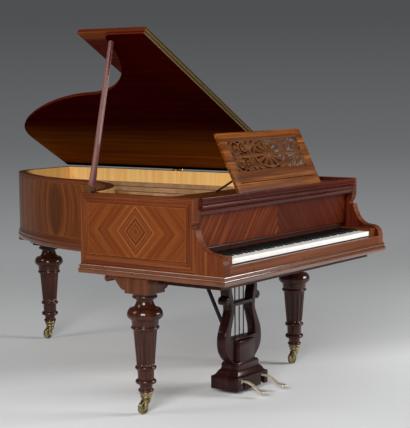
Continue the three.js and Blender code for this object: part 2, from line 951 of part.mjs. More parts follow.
function addIronFrame() {
  const bottom = boardTop + gap;
  const right = caseWidth - ironInset;
  const inner = ironInset + ironWidth;
  const webBottom = webTop - webThickness;
  const side = (x0, x1) => [
    box(x0, x1, webFront, shoulderBack, webBottom, webTop),
    box(x0, x1, wrestPlankBack + ironThickness, shoulderBack, bottom, webTop),
  ];
  const barBottom = stringZ + stringSize + barLift;
  const barTop = barBottom + barHeight;
  const bars = barShares.flatMap((share) => {
    const x0 = share * caseWidth - barWidth / 2;
    const x1 = x0 + barWidth;
    const back = planY(share * caseWidth, ironInset + ironWidth / 2) + barFoot / 2;
    return [
      box(x0, x1, barFront, back, barBottom, barTop),
      box(x0, x1, barFront, barFront + barFoot, webBottom, barTop),
      box(x0, x1, back - barFoot, back, bottom, barTop),
    ];
  });
  const ring = insideRing(
    ironInset,
    ironWidth,
    wrestPlankBack + ironThickness,
    bottom,
    bottom + ironThickness,
  );
  const parts = [
    ring,
    box(ironInset, right, webFront, wrestPlankBack, webBottom, webTop),
    box(
      inner,
      caseWidth - inner,
      nutLine - nutWidth / 2,
      nutLine + nutWidth / 2,
      webBottom,
      webTop + nutStand,
    ),
    ...side(ironInset, inner),
    ...side(caseWidth - inner, right),
    ...bars,
  ];
  add("iron_frame", join(...parts), bronze);
}

// Fallboard, upright behind the keys, and the rounded strip under it
function addFallboard() {
  const bottom = keyTop + stripLift;
  const top = bottom + stripHeight;
  const back = stripFront + stripDepth;
  const strip = new THREE.Shape();
  strip.moveTo(back, bottom);
  strip.lineTo(back, top);
  strip.lineTo(stripFront + stripRound, top);
  strip.quadraticCurveTo(stripFront, top, stripFront, top - stripRound);
  strip.lineTo(stripFront, bottom);
  add("nameboard_strip", prism("x", strip, innerLeft, innerRight), darkWood);

  const pivot = top + runningGap;
  const reach = rimTop - frontRailHeight - fallboardSwingGap - pivot;
  const height = Math.sqrt(reach ** 2 - fallboardThickness ** 2);
  const left = wall + runningGap;
  const panel = box(
    left,
    caseWidth - left,
    0,
    fallboardThickness,
    runningGap,
    height,
  );
  add("fallboard", panel, veneer, group(frame, 0, fallboardFront, pivot));
}

function addFrontRail() {
  const bottom = rimTop - frontRailHeight;
  const fasciaFoot = rimTop - fasciaHeight;
  const bead = frontRailFace - beadReach;
  const beadFoot = fasciaFoot - beadHeight;
  const ledge = shelfTop - shelfThickness - gap;
  const profile = new THREE.Shape();
  profile.moveTo(frontRailBack, rimTop);
  profile.lineTo(frontRailFace, rimTop);
  profile.lineTo(frontRailFace, fasciaFoot);
  profile.lineTo(bead, fasciaFoot);
  profile.lineTo(bead, beadFoot);
  profile.lineTo(frontRailFace, beadFoot);
  profile.quadraticCurveTo(frontRailFoot, beadFoot, frontRailFoot, bottom);
  profile.lineTo(frontRailRear, bottom);
  profile.lineTo(frontRailRear, ledge);
  profile.lineTo(frontRailBack, ledge);
  add("front_rail", prism("x", profile, innerLeft, innerRight), veneer);
  add(
    "music_shelf",
    box(
      innerLeft,
      innerRight,
      frontRailBack + gap,
      shelfBack,
      shelfTop - shelfThickness,
      shelfTop,
    ),
    veneer,
  );
}

// Music desk: a pierced panel with a rosette, drawn flat with X across and Y up the panel
function petal(index) {
  const turn = (2 * Math.PI) / petalCount;
  const start = index * turn;
  const end = start + petalShare * turn;
  const wide = (rosetteShare * deskWidth) / 2;
  const inner = [petalInnerShare * wide, petalInnerShare * rosetteRadius];
  const path = new THREE.Path();
  path.absellipse(0, rosetteHeight, wide, rosetteRadius, start, end, false);
  path.absellipse(0, rosetteHeight, ...inner, end, start, true);
  return path;
}

function leaf(x, y, tilt) {
  const half = deskWidth / 2;
  const turn = (2 * Math.PI) / leafSteps;
  const [cos, sin] = [Math.cos(tilt), Math.sin(tilt)];
  const points = Array.from({ length: leafSteps }, (_, i) => {
    const along = leafLengthShare * half * Math.cos(i * turn);
    const across = leafWidthShare * half * Math.sin(i * turn);
    return new THREE.Vector2(x + along * cos - across * sin, y + along * sin + across * cos);
  });
  return new THREE.Path(points);
}

function rectanglePath(x0, x1, y0, y1) {
  const corners = [[x0, y0], [x1, y0], [x1, y1], [x0, y1]];
  return new THREE.Path(corners.map(([x, y]) => new THREE.Vector2(x, y)));
}

function deskPanel() {
  const half = deskWidth / 2;
  const panel = toShape([[-half, 0], [half, 0], [half, deskHeight], [-half, deskHeight]]);
  for (let i = 0; i < petalCount; i += 1) panel.holes.push(petal(i));
  const tilt = THREE.MathUtils.degToRad(leafTilt);
  [-1, 1].forEach((side) =>
    leafShares.forEach((share, column) =>
      [-1, 1].forEach((row) => {
        const lean = (column % 2 ? tilt : -tilt) * side * row;
        panel.holes.push(leaf(side * share * half, rosetteHeight + row * leafRise, lean));
      }),
    ),
  );
  const slitHalf = half - deskBorder;
  panel.holes.push(rectanglePath(-slitHalf, slitHalf, slitLow, slitHigh));
  const pocketHalf = strutWidth / 2 + strutSide;
  const pocket = box(
    -strutInset - pocketHalf,
    -strutInset + pocketHalf,
    strutPivotHeight - strutPocketEnd,
    strutPivotHeight + strutLength + strutPocketEnd,
    -overrun,
    strutPocketDepth,
  );
  return cut(prism("z", panel, 0, deskThickness, 1), pocket);
}

function addDesk() {
  const turnedUp = THREE.MathUtils.degToRad(90 - deskLean);
  const desk = group(frame, caseWidth / 2, deskPivot, deskPivotZ);
  desk.rotation.x = turnedUp;
  add("music_desk", deskPanel(), deskWood, desk);

  const strut = group(desk, -strutInset, strutPivotHeight, strutPivotDepth);
  const pivotZ =
    deskPivotZ + strutPivotHeight * Math.sin(turnedUp) + strutPivotDepth * Math.cos(turnedUp);
  const fall = pivotZ - shelfTop - strutThickness / 2 - gap;
  strut.rotation.x = -turnedUp - Math.asin(fall / strutLength);
  const radius = strutThickness / 2;
  const outlineShape = stadium(0, radius, strutLength, radius);
  add(
    "desk_strut",
    prism("x", outlineShape, -strutWidth / 2, strutWidth / 2),
    deskWood,
    strut,
  );
}

// Lid: the main leaf hangs on the spine, and the front leaf is folded back on top of it
const lidFrame = group(frame, hingeX, 0, hingeZ);
lidFrame.rotation.y = lidTurn;
const lidEdge = caseWidth - lidHingeGap + lidHingeReach;
const lidFree = -lidOverhang;

function addLid() {
  const contour = offsetOutline(outline, lidOverhang).slice(3);
  const back = caseLength + lidOverhang;
  const points = [[lidEdge, lidSplit], [lidEdge, back], ...contour, [lidFree, lidSplit]];
  const corner = points.length - 2;
  const main = prism("z", roundedAt(points, corner, lidCorner), 0, lidThickness);
  add("lid", main.translate(-hingeX, 0, 0), lidWood, lidFrame);

  const flapFrame = group(lidFrame, -hingeX, lidSplit, lidThickness + gap / 2);
  const flapPlan = [
    [lidFree, gap],
    [lidEdge, gap],
    [lidEdge, flapLength],
    [lidFree, flapLength],
  ];
  const flap = prism("z", roundedAt(flapPlan, 3, flapCorner), gap / 2, lidThickness + gap / 2);
  add("lid_flap", flap, lidWood, flapFrame);
}

function addLidHinges() {
  const names = ["lid_hinge_front", "lid_hinge_rear"];
  hingeShares.forEach((share, i) => {
    const y0 = share * caseLength - hingeLength / 2;
    const y1 = y0 + hingeLength;
    const knuckle = rod("y", hingeRadius, y0, y1).translate(hingeX, 0, hingeZ);
    const base = rimTop + gap;
    const leafPlate = box(
      caseWidth - hingeLeafWidth,
      hingeX,
      y0,
      y1,
      base,
      base + hingeLeafThickness,
    );
    add(names[i], join(knuckle, leafPlate), brass);
  });
}

// Prop: it turns on a tilted pin, so that it folds forward onto the cheek
function addProp() {
  const foot = new THREE.Vector3(wall / 2, propFootY, rimTop + propPinHeight);
  const reach = hingeX - lidFree - propTipInset;
  const tip = new THREE.Vector3(
    hingeX - reach * Math.cos(lidTurn) - propTipDrop * Math.sin(lidTurn),
    propTipY,
    hingeZ + reach * Math.sin(lidTurn) - propTipDrop * Math.cos(lidTurn),
  );
  const span = tip.clone().sub(foot);
  const length = span.length();
  const socket = group(frame, foot.x, foot.y, foot.z);
  socket.rotation.y = Math.atan2(span.x, span.z);
  const half = propThickness / 2;

  const lug = (side) => {
    const near = side * (half + lugSide);
    const far = side * (half + lugSide + lugThickness);
    return box(
      Math.min(near, far),
      Math.max(near, far),
      -propFootRadius,
      propFootRadius,
      -lugBottom,
      lugTop,
    );
  };
  const pinHalf = half + lugSide + lugThickness;
  const tilt = new THREE.Matrix4().makeRotationY(socket.rotation.y);
  const lugs = join(lug(-1), lug(1), rod("x", pinRadius, -pinHalf, pinHalf));
  lugs.applyMatrix4(tilt);
  const low = gap - propPinHeight;
  const plateHalf = half + plateInset + plateInset;
  const base = box(
    -plateHalf,
    plateHalf,
    -plateLength / 2,
    plateLength / 2,
    low,
    low + plateThickness,
  );
  const above = box(-wall, wall, -plateLength, plateLength, low, wall);
  const bracket = shared(join(base, lugs), above);
  add("prop_bracket", bracket, brass, group(frame, foot.x, foot.y, foot.z));

  const prop = group(socket, 0, 0, 0);
  prop.rotation.x = -Math.atan2(span.y, Math.hypot(span.x, span.z));
  const bar = prism(
    "x",
    stadium(0, propFootRadius, length - propTipRadius, propTipRadius),
    -half,
    half,
  ).rotateX(Math.PI / 2);
  const slotTop = length - slotFromTip;
  const slotBottom = slotTop - slotLength;
  const slot = box(
    -slotWidth / 2,
    slotWidth / 2,
    -propFootRadius - overrun,
    propFootRadius + overrun,
    slotBottom,
    slotTop,
  );
  const bore = rod("x", pinRadius + pinPlay, -half - overrun, half + overrun);
  const stickZ = slotBottom + stickFromSlotEnd;
  const stickPin = rod("x", stickPinRadius, -half + gap, half - gap).translate(0, 0, stickZ);
  add("lid_prop", join(cut(bar, slot, bore), stickPin), propWood, prop);

  const stick = prism(
    "x",
    stadium(0, stickRadius, stickLength, stickRadius),
    -stickWidth / 2,
    stickWidth / 2,
  ).rotateX(Math.PI / 2);
  const stickBore = rod("x", stickPinRadius + pinPlay, -overrun, overrun);
  add("short_prop", cut(stick, stickBore), propWood, group(prop, 0, 0, stickZ));
}

// Legs with their blocks, scroll brackets and casters
function legTurning() {
  const blockFoot = caseBottom - legBlockHeight;
  const height = blockFoot - legFoot;
  const profile = legShares.map(([up, out]) => [out * legRadius, legFoot + up * height]);
  const [bottomZ, topZ] = [profile[0][1], blockFoot + overrun];
  const topRadius = profile.at(-1)[0];
  return turned([[0, bottomZ], ...profile, [topRadius, topZ], [0, topZ]], legSteps);
}

// The turns that point a bracket to the tail, to the spine and to the cheek
const turnTo = { back: Math.PI / 2, right: 0, left: Math.PI };

// A scroll that leaves the block along +X of its own frame.
function scrollBracket() {
  const top = caseBottom - gap;
  const low = caseBottom - legBlockHeight;
  const start = legBlock / 2 - overrun;
  const [foot, hollow, middle, swell, neck] = bracketShares.map(([out, drop]) => [
    legBlock / 2 + out * bracketLength,
    top - drop * legBlockHeight,
  ]);
  const half = bracketThickness / 2;
  const end = legBlock / 2 + bracketLength - curlRadius;
  const shape = new THREE.Shape();
  shape.moveTo(start, top);
  shape.lineTo(start, low);
  shape.lineTo(...foot);
  shape.quadraticCurveTo(...hollow, ...middle);
  shape.quadraticCurveTo(...swell, ...neck);
  shape.lineTo(end, neck[1]);
  shape.lineTo(end, top);
  const curlZ = top - curlLift - curlRadius;
  const curl = rod("y", curlRadius, -half, half).translate(end, 0, curlZ);
  return join(prism("y", shape, -half, half), curl);
}

function legSolid(directions) {
  const half = legBlock / 2;
  const block = box(-half, half, -half, half, caseBottom - legBlockHeight, caseBottom - gap);
  const brackets = directions.map((turn) => scrollBracket().rotateZ(turn));
  return join(legTurning(), block, ...brackets);
}

function addCaster(name, x, y) {
  const crownBottom = wheelZ + wheelRadius + forkLip;
  const crownTop = crownBottom + forkCrown;
  const cupBottom = crownTop + gap;
  const cupTop = legFoot - gap;
  const cup = turned(
    [
      [0, cupBottom],
      [cupRadius, cupBottom],
      [cupRadius, cupTop - cupLip / 2],
      [cupLip, cupTop - cupLip / 4],
      [cupLip, cupTop],
      [0, cupTop],
    ],
    legSteps,
  );
  add(`caster_cup_${name}`, cup, brass, group(frame, x, y, 0));

  const half = wheelWidth / 2;
  const inside = half + forkSide;
  const outside = inside + forkCheek;
  const arm = (y0, y1) => {
    const side = new THREE.Shape();
    side.moveTo(-trail - forkCrown - axleRadius, wheelZ - axleRadius - forkCrown);
    side.lineTo(-trail + forkCrown + axleRadius, wheelZ - axleRadius - forkCrown);
    side.lineTo(forkCrown + axleRadius, crownTop);
    side.lineTo(-trail, crownTop);
    return prism("y", side, y0, y1);
  };
  const fork = join(
    rod("z", forkCrownRadius, crownBottom, crownTop, legSteps),
    arm(-outside, -inside),
    arm(inside, outside),
    rod("y", axleRadius, -outside, outside).translate(-trail, 0, wheelZ),
  );
  const swivel = group(frame, x, y, 0);
  add(`caster_fork_${name}`, fork, brass, swivel);

  const bore = axleRadius + axlePlay;
  const rim = wheelRadius - wheelEdge;
  const wheel = turned(
    [
      [bore, -half],
      [rim, -half],
      [wheelRadius, -half + wheelEdge],
      [wheelRadius, half - wheelEdge],
      [rim, half],
      [bore, half],
      [bore, -half],
    ],
    wheelSteps,
  )
    .rotateZ(wheelAngle)
    .rotateX(Math.PI / 2);
  add(`caster_wheel_${name}`, wheel, brass, group(swivel, -trail, 0, wheelZ));
}

function addLegs() {
  const legs = [
    ["left", legInset, frontLegY, [turnTo.back, turnTo.right]],
    ["right", caseWidth - legInset, frontLegY, [turnTo.back, turnTo.left]],
    ["rear", rearLegX, caseLength - rearLegInset, [turnTo.left, turnTo.right]],
  ];
  legs.forEach(([name, x, y, directions]) => {
    add(`leg_${name}`, legSolid(directions), darkWood, group(frame, x, y, 0));
    addCaster(name, x, y);
  });
}

// Lyre, drawn as (X, Z) about its middle
const lyreTop = caseBottom - underPanelDrop - gap;
const lyreBack = lyreFront + lyreDepth;
const lyreHeight = lyreTop - lyreFoot;
const lyreOutline = ([out, up]) => [out * lyreHalfWidth, lyreFoot + up * lyreHeight];
const lyrePoint = (share) => new THREE.Vector2(...lyreOutline(share));
const mirrored = (points) => points.map(([x, z]) => [-x, z]).reverse();

function lyreSide(shares) {
  const curve = new THREE.SplineCurve(shares.map(lyrePoint));
  return curve.getPoints(lyreSteps).map((p) => [p.x, p.y]);
}

function lyreBody() {
  const right = lyreSide(lyreShares);
  const hole = (side) =>
    prism("y", [...side, ...mirrored(side)], lyreFront - overrun, lyreBack + overrun);
  const nose = (side) =>
    rod("y", noseRadius, lyreFront + gap, lyreBack - gap).translate(side * noseX, 0, noseZ);
  const arms = join(
    prism("y", [...right, ...mirrored(right)], lyreFront, lyreBack),
    nose(-1),
    nose(1),
  );
  return cut(arms, hole(lyreSide(openingShares)), hole(upperShares.map(lyreOutline)));
}

// A block whose top is drawn in on all four sides.
function taperedBlock(x0, x1, y0, y1, z0, topX, topY0, topY1, z1) {
  const geometry = new THREE.BoxGeometry(1, 1, 1);
  const place = geometry.attributes.position;
  for (let i = 0; i < place.count; i += 1) {
    const [right, back, high] = [place.getX(i) > 0, place.getY(i) > 0, place.getZ(i) > 0];
    const x = high ? (right ? topX : -topX) : right ? x1 : x0;
    const y = high ? (back ? topY1 : topY0) : back ? y1 : y0;
    place.setXYZ(i, x, y, high ? z1 : z0);
  }
  return geometry;
}

function pedalBox() {
  const inner = boxHalfWidth - boxWall;
  const roof = boxShoulder - boxRoof;
  const slots = [-1, 1].map((side) => {
    const x = (side * pedalSpacing) / 2;
    const half = pedalWidth / 2 + pedalSlotSide;
    const back = boxFront + boxWall + overrun;
    return box(x - half, x + half, boxFront - overrun, back, boxBottom - overrun, pedalSlotHigh);
  });
  const beamFront = pedalPivot + pedalRear - pedalBeamDepth;
  const shell = cut(
    box(-boxHalfWidth, boxHalfWidth, boxFront, boxBack, boxBottom, boxShoulder),
    box(
      -inner,
      inner,
      boxFront + boxWall,
      boxBack - boxWall,
      boxBottom - overrun,
      roof + boxRoof / 2,
    ),
    ...slots,
  );
  return join(
    shell,
    box(-inner - overrun, inner + overrun, beamFront, boxBack - overrun, pedalTop + gap, boxShoulder),
    taperedBlock(
      -boxHalfWidth,
      boxHalfWidth,
      boxFront,
      boxBack,
      boxShoulder,
      plinthHalfWidth,
      plinthFront,
      plinthBack,
      lyreFoot,
    ),
  );
}

function addLyre() {
  const lyre = group(frame, lyreX, 0, 0);
  const rods = [-1, 0, 1].map((i) =>
    rod("z", rodRadius, ledgeTop - overrun, lyreTop - topBoard + overrun, rodSteps).translate(
      i * rodSpacing,
      (lyreFront + lyreBack) / 2,
      0,
    ),
  );
  const body = join(
    lyreBody(),
    box(
      -ledgeHalfWidth,
      ledgeHalfWidth,
      lyreFront - ledgeReach,
      lyreBack + ledgeReach,
      ledgeTop - ledgeHeight,
      ledgeTop,
    ),
    box(
      -blockHalfWidth,
      blockHalfWidth,
      lyreFront - blockReach,
      lyreBack,
      blockFoot,
      ledgeTop - ledgeHeight,
    ),
    box(
      -plinthHalfWidth,
      plinthHalfWidth,
      plinthFront,
      plinthBack,
      lyreFoot,
      lyreFoot + plinthHeight,
    ),
    ...rods,
    pedalBox(),
  );
  add("lyre_frame", body, darkWood, lyre);

  const top = caseBottom - gap;
  const foot = lyreBack + gap;
  const brace = [
    [foot, braceFoot],
    [braceTopY + braceTopDepth, top],
    [braceTopY, top],
    [foot, braceFoot + braceFootHeight],
  ];
  add("lyre_brace", prism("x", brace, -braceWidth / 2, braceWidth / 2), darkWood, lyre);

  ["pedal_left", "pedal_right"].forEach((name, i) => {
    const x = (i - 1 / 2) * pedalSpacing;
    add(name, pedalSolid(), brass, group(lyre, x, pedalPivot, pedalTop));
  });
}

// A pedal about its pivot: level in the box, then down to a wide flat tip.
function pedalSolid() {
  const side = (thickness) => {
    const shape = new THREE.Shape();
    const at = (y, z) => [y - pedalPivot, z - pedalTop];
    const middle = (pedalBend + pedalTipStart) / 2;
    shape.moveTo(pedalRear, 0);
    shape.lineTo(...at(pedalBend, pedalTop));
    shape.bezierCurveTo(
      ...at(middle, pedalTop),
      ...at(middle, pedalTipTop),
      ...at(pedalTipStart, pedalTipTop),
    );
    shape.lineTo(...at(pedalTipEnd, pedalTipTop));
    shape.lineTo(...at(pedalTipEnd, pedalTipTop - thickness));
    shape.lineTo(...at(pedalTipStart, pedalTipTop - thickness));
    shape.bezierCurveTo(
      ...at(middle, pedalTipTop - thickness),
      ...at(middle, pedalTop - thickness),
      ...at(pedalBend, pedalTop - thickness),
    );
    shape.lineTo(pedalRear, -thickness);
    return shape;
  };
  const bar = prism("x", side(pedalThickness), -pedalWidth / 2, pedalWidth / 2);
  const wide = prism("x", side(pedalThickness), -pedalTipWidth / 2, pedalTipWidth / 2);
  const tipOnly = box(
    -pedalTipWidth,
    pedalTipWidth,
    pedalTipEnd - pedalPivot - overrun,
    pedalTipEnd - pedalPivot + pedalTipLength,
    -pedalTop,
    pedalTop,
  );
  return join(bar, shared(wide, tipOnly));
}

addRim();
addMoulding();
addInnerCase();
addKeybed();
addKeys();
addAction();
addDampers();
addStrings();
addIronFrame();
addFallboard();
addFrontRail();
addDesk();
addLid();
addLidHinges();
addProp();
addLegs();
addLyre();

export default piano;
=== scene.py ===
import math

import bmesh
import bpy
from mathutils import Matrix, Vector


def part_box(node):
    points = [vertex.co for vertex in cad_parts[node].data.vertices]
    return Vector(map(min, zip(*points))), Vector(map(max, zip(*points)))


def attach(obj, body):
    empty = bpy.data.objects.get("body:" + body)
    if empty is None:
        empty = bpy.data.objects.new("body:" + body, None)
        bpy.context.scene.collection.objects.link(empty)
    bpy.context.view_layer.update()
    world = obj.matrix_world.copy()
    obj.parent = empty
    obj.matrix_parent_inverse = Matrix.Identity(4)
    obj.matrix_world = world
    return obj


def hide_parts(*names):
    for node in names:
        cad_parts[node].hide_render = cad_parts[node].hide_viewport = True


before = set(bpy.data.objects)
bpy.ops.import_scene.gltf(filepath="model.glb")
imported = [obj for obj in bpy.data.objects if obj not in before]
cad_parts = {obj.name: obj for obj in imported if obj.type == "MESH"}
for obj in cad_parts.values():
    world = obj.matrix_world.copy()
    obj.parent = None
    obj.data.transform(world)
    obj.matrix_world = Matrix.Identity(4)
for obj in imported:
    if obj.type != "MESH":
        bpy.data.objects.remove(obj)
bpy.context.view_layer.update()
bpy.context.scene.view_settings.view_transform = "Standard"

# Case frame: millimetres from the case's left front corner on the floor
MM = 0.001
MIDDLE = Vector((-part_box("cheek_left")[0].x, 1.065, 0))
CASE_WIDTH = 1410
CASE_LENGTH = 2130
CHEEK_LENGTH = 800
WALL = 42
TUBE_STEPS = 32
TUBE_POWER = 2 / 2.6
TAU = 2 * math.pi


def at(x, y, z):
    return Vector((x, y, z)) * MM - MIDDLE


def spin(degrees, axis):
    return Matrix.Rotation(math.radians(degrees), 4, axis)


def home_at(x, y, z, axis, degrees):
    """A place with its own axes, turned about one of them."""
    return Matrix.Translation(at(x, y, z)) @ spin(degrees, axis)


def add_object(name, data):
    thing = bpy.data.objects.new(name, data)
    bpy.context.scene.collection.objects.link(thing)
    return thing


# Camera, solved from the photograph in the case frame
CAMERA_PLACE = (-4381.3, -3074.3, 1482.9)
CAMERA_YAW = 35.9
CAMERA_PITCH = 5.8
CAMERA_ROLL = -0.5
FOCAL_PIXELS = 1283
FRAME_HEIGHT = 428
SENSOR = 36


def add_camera():
    data = bpy.data.cameras.new("camera")
    data.sensor_width = SENSOR
    data.lens = FOCAL_PIXELS / FRAME_HEIGHT * SENSOR
    data.clip_end = 200
    camera = add_object("camera", data)
    level = home_at(*CAMERA_PLACE, "Z", CAMERA_YAW - 90)
    camera.matrix_world = level @ spin(90 - CAMERA_PITCH, "X") @ spin(CAMERA_ROLL, "Z")
    bpy.context.scene.camera = camera


add_camera()


# Solids: lists of points in millimetres and of faces
def stack(loops, closed=False):
    """Closed loops of equal count, skinned in order. A closed stack joins its last loop to its first."""
    count = len(loops[0])
    points = [point for loop in loops for point in loop]
    faces = []
    for k in range(len(loops) if closed else len(loops) - 1):
        low, high = k * count, (k + 1) % len(loops) * count
        for i in range(count):
            j = (i + 1) % count
            faces.append((low + i, low + j, high + j, high + i))
    if not closed:
        faces.append(tuple(reversed(range(count))))
        faces.append(tuple(range(len(points) - count, len(points))))
    return points, faces


def combine(*solids):
    points, faces = [], []
    for more_points, more_faces in solids:
        start = len(points)
        points.extend(more_points)
        faces.extend(tuple(i + start for i in face) for face in more_faces)
    return points, faces


def moved(solid, place):
    return [place(*point) for point in solid[0]], solid[1]


def shifted(solid, x, y, z):
    return moved(solid, lambda a, b, c: (a + x, b + y, c + z))


def offset(points, distance):
    """An anticlockwise outline moved outwards along its corners' bisectors."""
    def normal(a, b):
        return Vector((b[1] - a[1], a[0] - b[0])).normalized()

    result = []
    for i, point in enumerate(points):
        before = normal(points[i - 1], point)
        after = normal(point, points[(i + 1) % len(points)])
        both = (before + after) * distance / (1 + before.dot(after))
        result.append((point[0] + both.x, point[1] + both.y))
    return result


def tiers(rings):
    """Outlines stacked at their heights: each ring is (height, outline)."""
    return stack([[(x, y, z) for x, y in outline] for z, outline in rings])


def plate(outline, levels):
    """An outline with a moulded edge, by (inset, height) pairs from one side to the other."""
    return tiers([(z, offset(outline, -inset)) for inset, z in levels])


def curve(steps, *controls):
    """A curve from the first control to the last that bends towards the rest, without its first point."""
    found = []
    for k in range(1, steps + 1):
        points = controls
        while len(points) > 1:
            points = [tuple(a + (b - a) * k / steps for a, b in zip(*pair))
                      for pair in zip(points, points[1:])]
        found.append(points[0])
    return found


def circle(steps):
    return [(math.cos(TAU * k / steps), math.sin(TAU * k / steps)) for k in range(steps)]


def signed_power(value, power):
    return math.copysign(abs(value) ** power, value)


def arc(x, y, radius, start, end, steps=16, high=None):
    high = radius if high is None else high
    angles = [math.radians(start + (end - start) * k / steps) for k in range(steps + 1)]
    return [(x + radius * math.cos(a), y + high * math.sin(a)) for a in angles]


def smooth(points, steps):
    """A curve through all points."""
    found = points[:1]
    last = len(points) - 1
    for i in range(last):
        a, b, c, d = [Vector(points[min(max(i + k, 0), last)]) for k in (-1, 0, 1, 2)]
        found += curve(steps, b, b + (c - a) / 6, c - (d - b) / 6, c)
    return found


def board(outlines, axis, middle, thickness, edge, steps=2):
    """A round-edged board across Y or Z. The first outline is its rim and the rest are openings."""
    data = bpy.data.curves.new("outline", "CURVE")
    data.dimensions = "2D"
    data.fill_mode = "BOTH"
    data.extrude = thickness / 2 - edge
    data.bevel_depth = edge
    data.bevel_resolution = steps
    data.offset = -edge
    for outline in outlines:
        spline = data.splines.new("POLY")
        spline.points.add(len(outline) - 1)
        for point, (x, y) in zip(spline.points, outline):
            point.co = (x, y, 0, 1)
        spline.use_cyclic_u = True
    holder = bpy.data.objects.new("outline", data)
    mesh = bpy.data.meshes.new_from_object(holder)
    points = [tuple(vertex.co) for vertex in mesh.vertices]
    faces = [tuple(polygon.vertices) for polygon in mesh.polygons]
    bpy.data.objects.remove(holder)
    bpy.data.curves.remove(data)
    bpy.data.meshes.remove(mesh)
    if axis == "y":
        return [(x, middle + z, y) for x, y, z in points], faces
    return [(x, y, middle + z) for x, y, z in points], faces


def toward(a, b, distance):
    step = (Vector(b) - Vector(a)).normalized() * distance
    return (a[0] + step.x, a[1] + step.y)


def ring(x0, x1, y0, y1, edge=2):
    """An outline of a rectangle with small round corners."""
    corners = [(x0, y0), (x1, y0), (x1, y1), (x0, y1)]
    found = []
    for i, corner in enumerate(corners):
        start = toward(corner, corners[i - 1], edge)
        found += curve(4, start, corner, toward(corner, corners[(i + 1) % 4], edge))
    return found


def block(x0, x1, y0, y1, z0, z1, edge=2):
    """A board with a rectangular plan and all its edges round."""
    rise = [(edge, z0), (edge * 0.3, z0 + edge * 0.3), (0, z0 + edge)]
    levels = rise + [(inset, z0 + z1 - z) for inset, z in reversed(rise)]
    return plate(ring(x0, x1, y0, y1, edge), levels)


def turned(profile, steps=48, groove=None, closed=False):
    """A turned solid from (height, radius) points. A third number bulges the way to the next point."""
    rows = []
    for (z0, r0, *bulge), (z1, r1, *_) in zip(profile, profile[1:]):
        count = 10 if bulge else 1
        for k in range(count):
            swing = math.pi * k / count
            t = (1 - math.cos(swing)) / 2
            rows.append((z0 + (z1 - z0) * t, r0 + (r1 - r0) * t + sum(bulge) * math.sin(swing)))
    if not closed:
        rows.append(profile[-1][:2])
    loops = []
    for z, r in rows:
        reach = [r - (groove(TAU * k / steps, z) if groove else 0) for k in range(steps)]
        loops.append([(far * c, far * s, z) for far, (c, s) in zip(reach, circle(steps))])
    return stack(loops, closed)


def lying(solid, axis="y"):
    """A turned solid laid along X or Y."""
    if axis == "x":
        return moved(solid, lambda a, b, c: (c, a, b))
    return moved(solid, lambda a, b, c: (b, c, a))


def tube(stations):
    """A rounded bar along the Y and Z plane: each station is (y, z, half width, half height)."""
    loops = []
    for i, (y, z, wide, high) in enumerate(stations):
        before, after = stations[max(i - 1, 0)], stations[min(i + 1, len(stations) - 1)]
        run = Vector((after[0] - before[0], after[1] - before[1])).normalized()
        loop = []
        for c, s in circle(TUBE_STEPS):
            lift = high * signed_power(s, TUBE_POWER)
            loop.append((wide * signed_power(c, TUBE_POWER), y - run.y * lift, z + run.x * lift))
        loops.append(loop)
    return stack(loops)


def shade(mesh, sharp):
    """Smooth shading with sharp edges above an angle."""
    for polygon in mesh.polygons:
        polygon.use_smooth = True
    mesh.set_sharp_from_angle(angle=math.radians(sharp))


def piece(name, solid, material, body="case", home=None, sharp=32, node=None, run=None):
    """A mesh in the case frame or about its home. It rides on a body and stands for a node."""
    points, faces = solid
    placed = [at(*p) for p in points] if home is None else [Vector(p) * MM for p in points]
    mesh = bpy.data.meshes.new(name)
    mesh.from_pydata(placed, [], faces)
    if run:
        layer = mesh.uv_layers.new(name="run")
        for loop in mesh.loops:
            layer.data[loop.index].uv = run[loop.vertex_index]
    made = bmesh.new()
    made.from_mesh(mesh)
    bmesh.ops.remove_doubles(made, verts=made.verts, dist=MM / 1000)
    bmesh.ops.recalc_face_normals(made, faces=made.faces)
    made.to_mesh(mesh)
    made.free()
    shade(mesh, sharp)
    mesh.materials.append(material)
    thing = add_object(name, mesh)
    if home is not None:
        thing.matrix_world = home
    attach(thing, body)
    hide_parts(node or body)


# Materials
def srgb(r, g, b):
    """A colour from levels of 0 to 255."""
    def linear(v):
        v /= 255
        return v / 12.92 if v <= 0.04045 else ((v + 0.055) / 1.055) ** 2.4

    return (linear(r), linear(g), linear(b), 1)


class Value:
    """An output of a node that takes signs of arithmetic. A comparison gives 1 or 0."""

    def __init__(self, nodes, socket):
        self.nodes = nodes
        self.socket = socket

    def __add__(self, other):
        return self.nodes.math("ADD", self, other)

    def __sub__(self, other):
        return self.nodes.math("SUBTRACT", self, other)

    def __mul__(self, other):
        return self.nodes.math("MULTIPLY", self, other)

    def __gt__(self, other):
        return self.nodes.math("GREATER_THAN", self, other)

    def __lt__(self, other):
        return self.nodes.math("LESS_THAN", self, other)

    def __abs__(self):
        return self.nodes.math("ABSOLUTE", self)


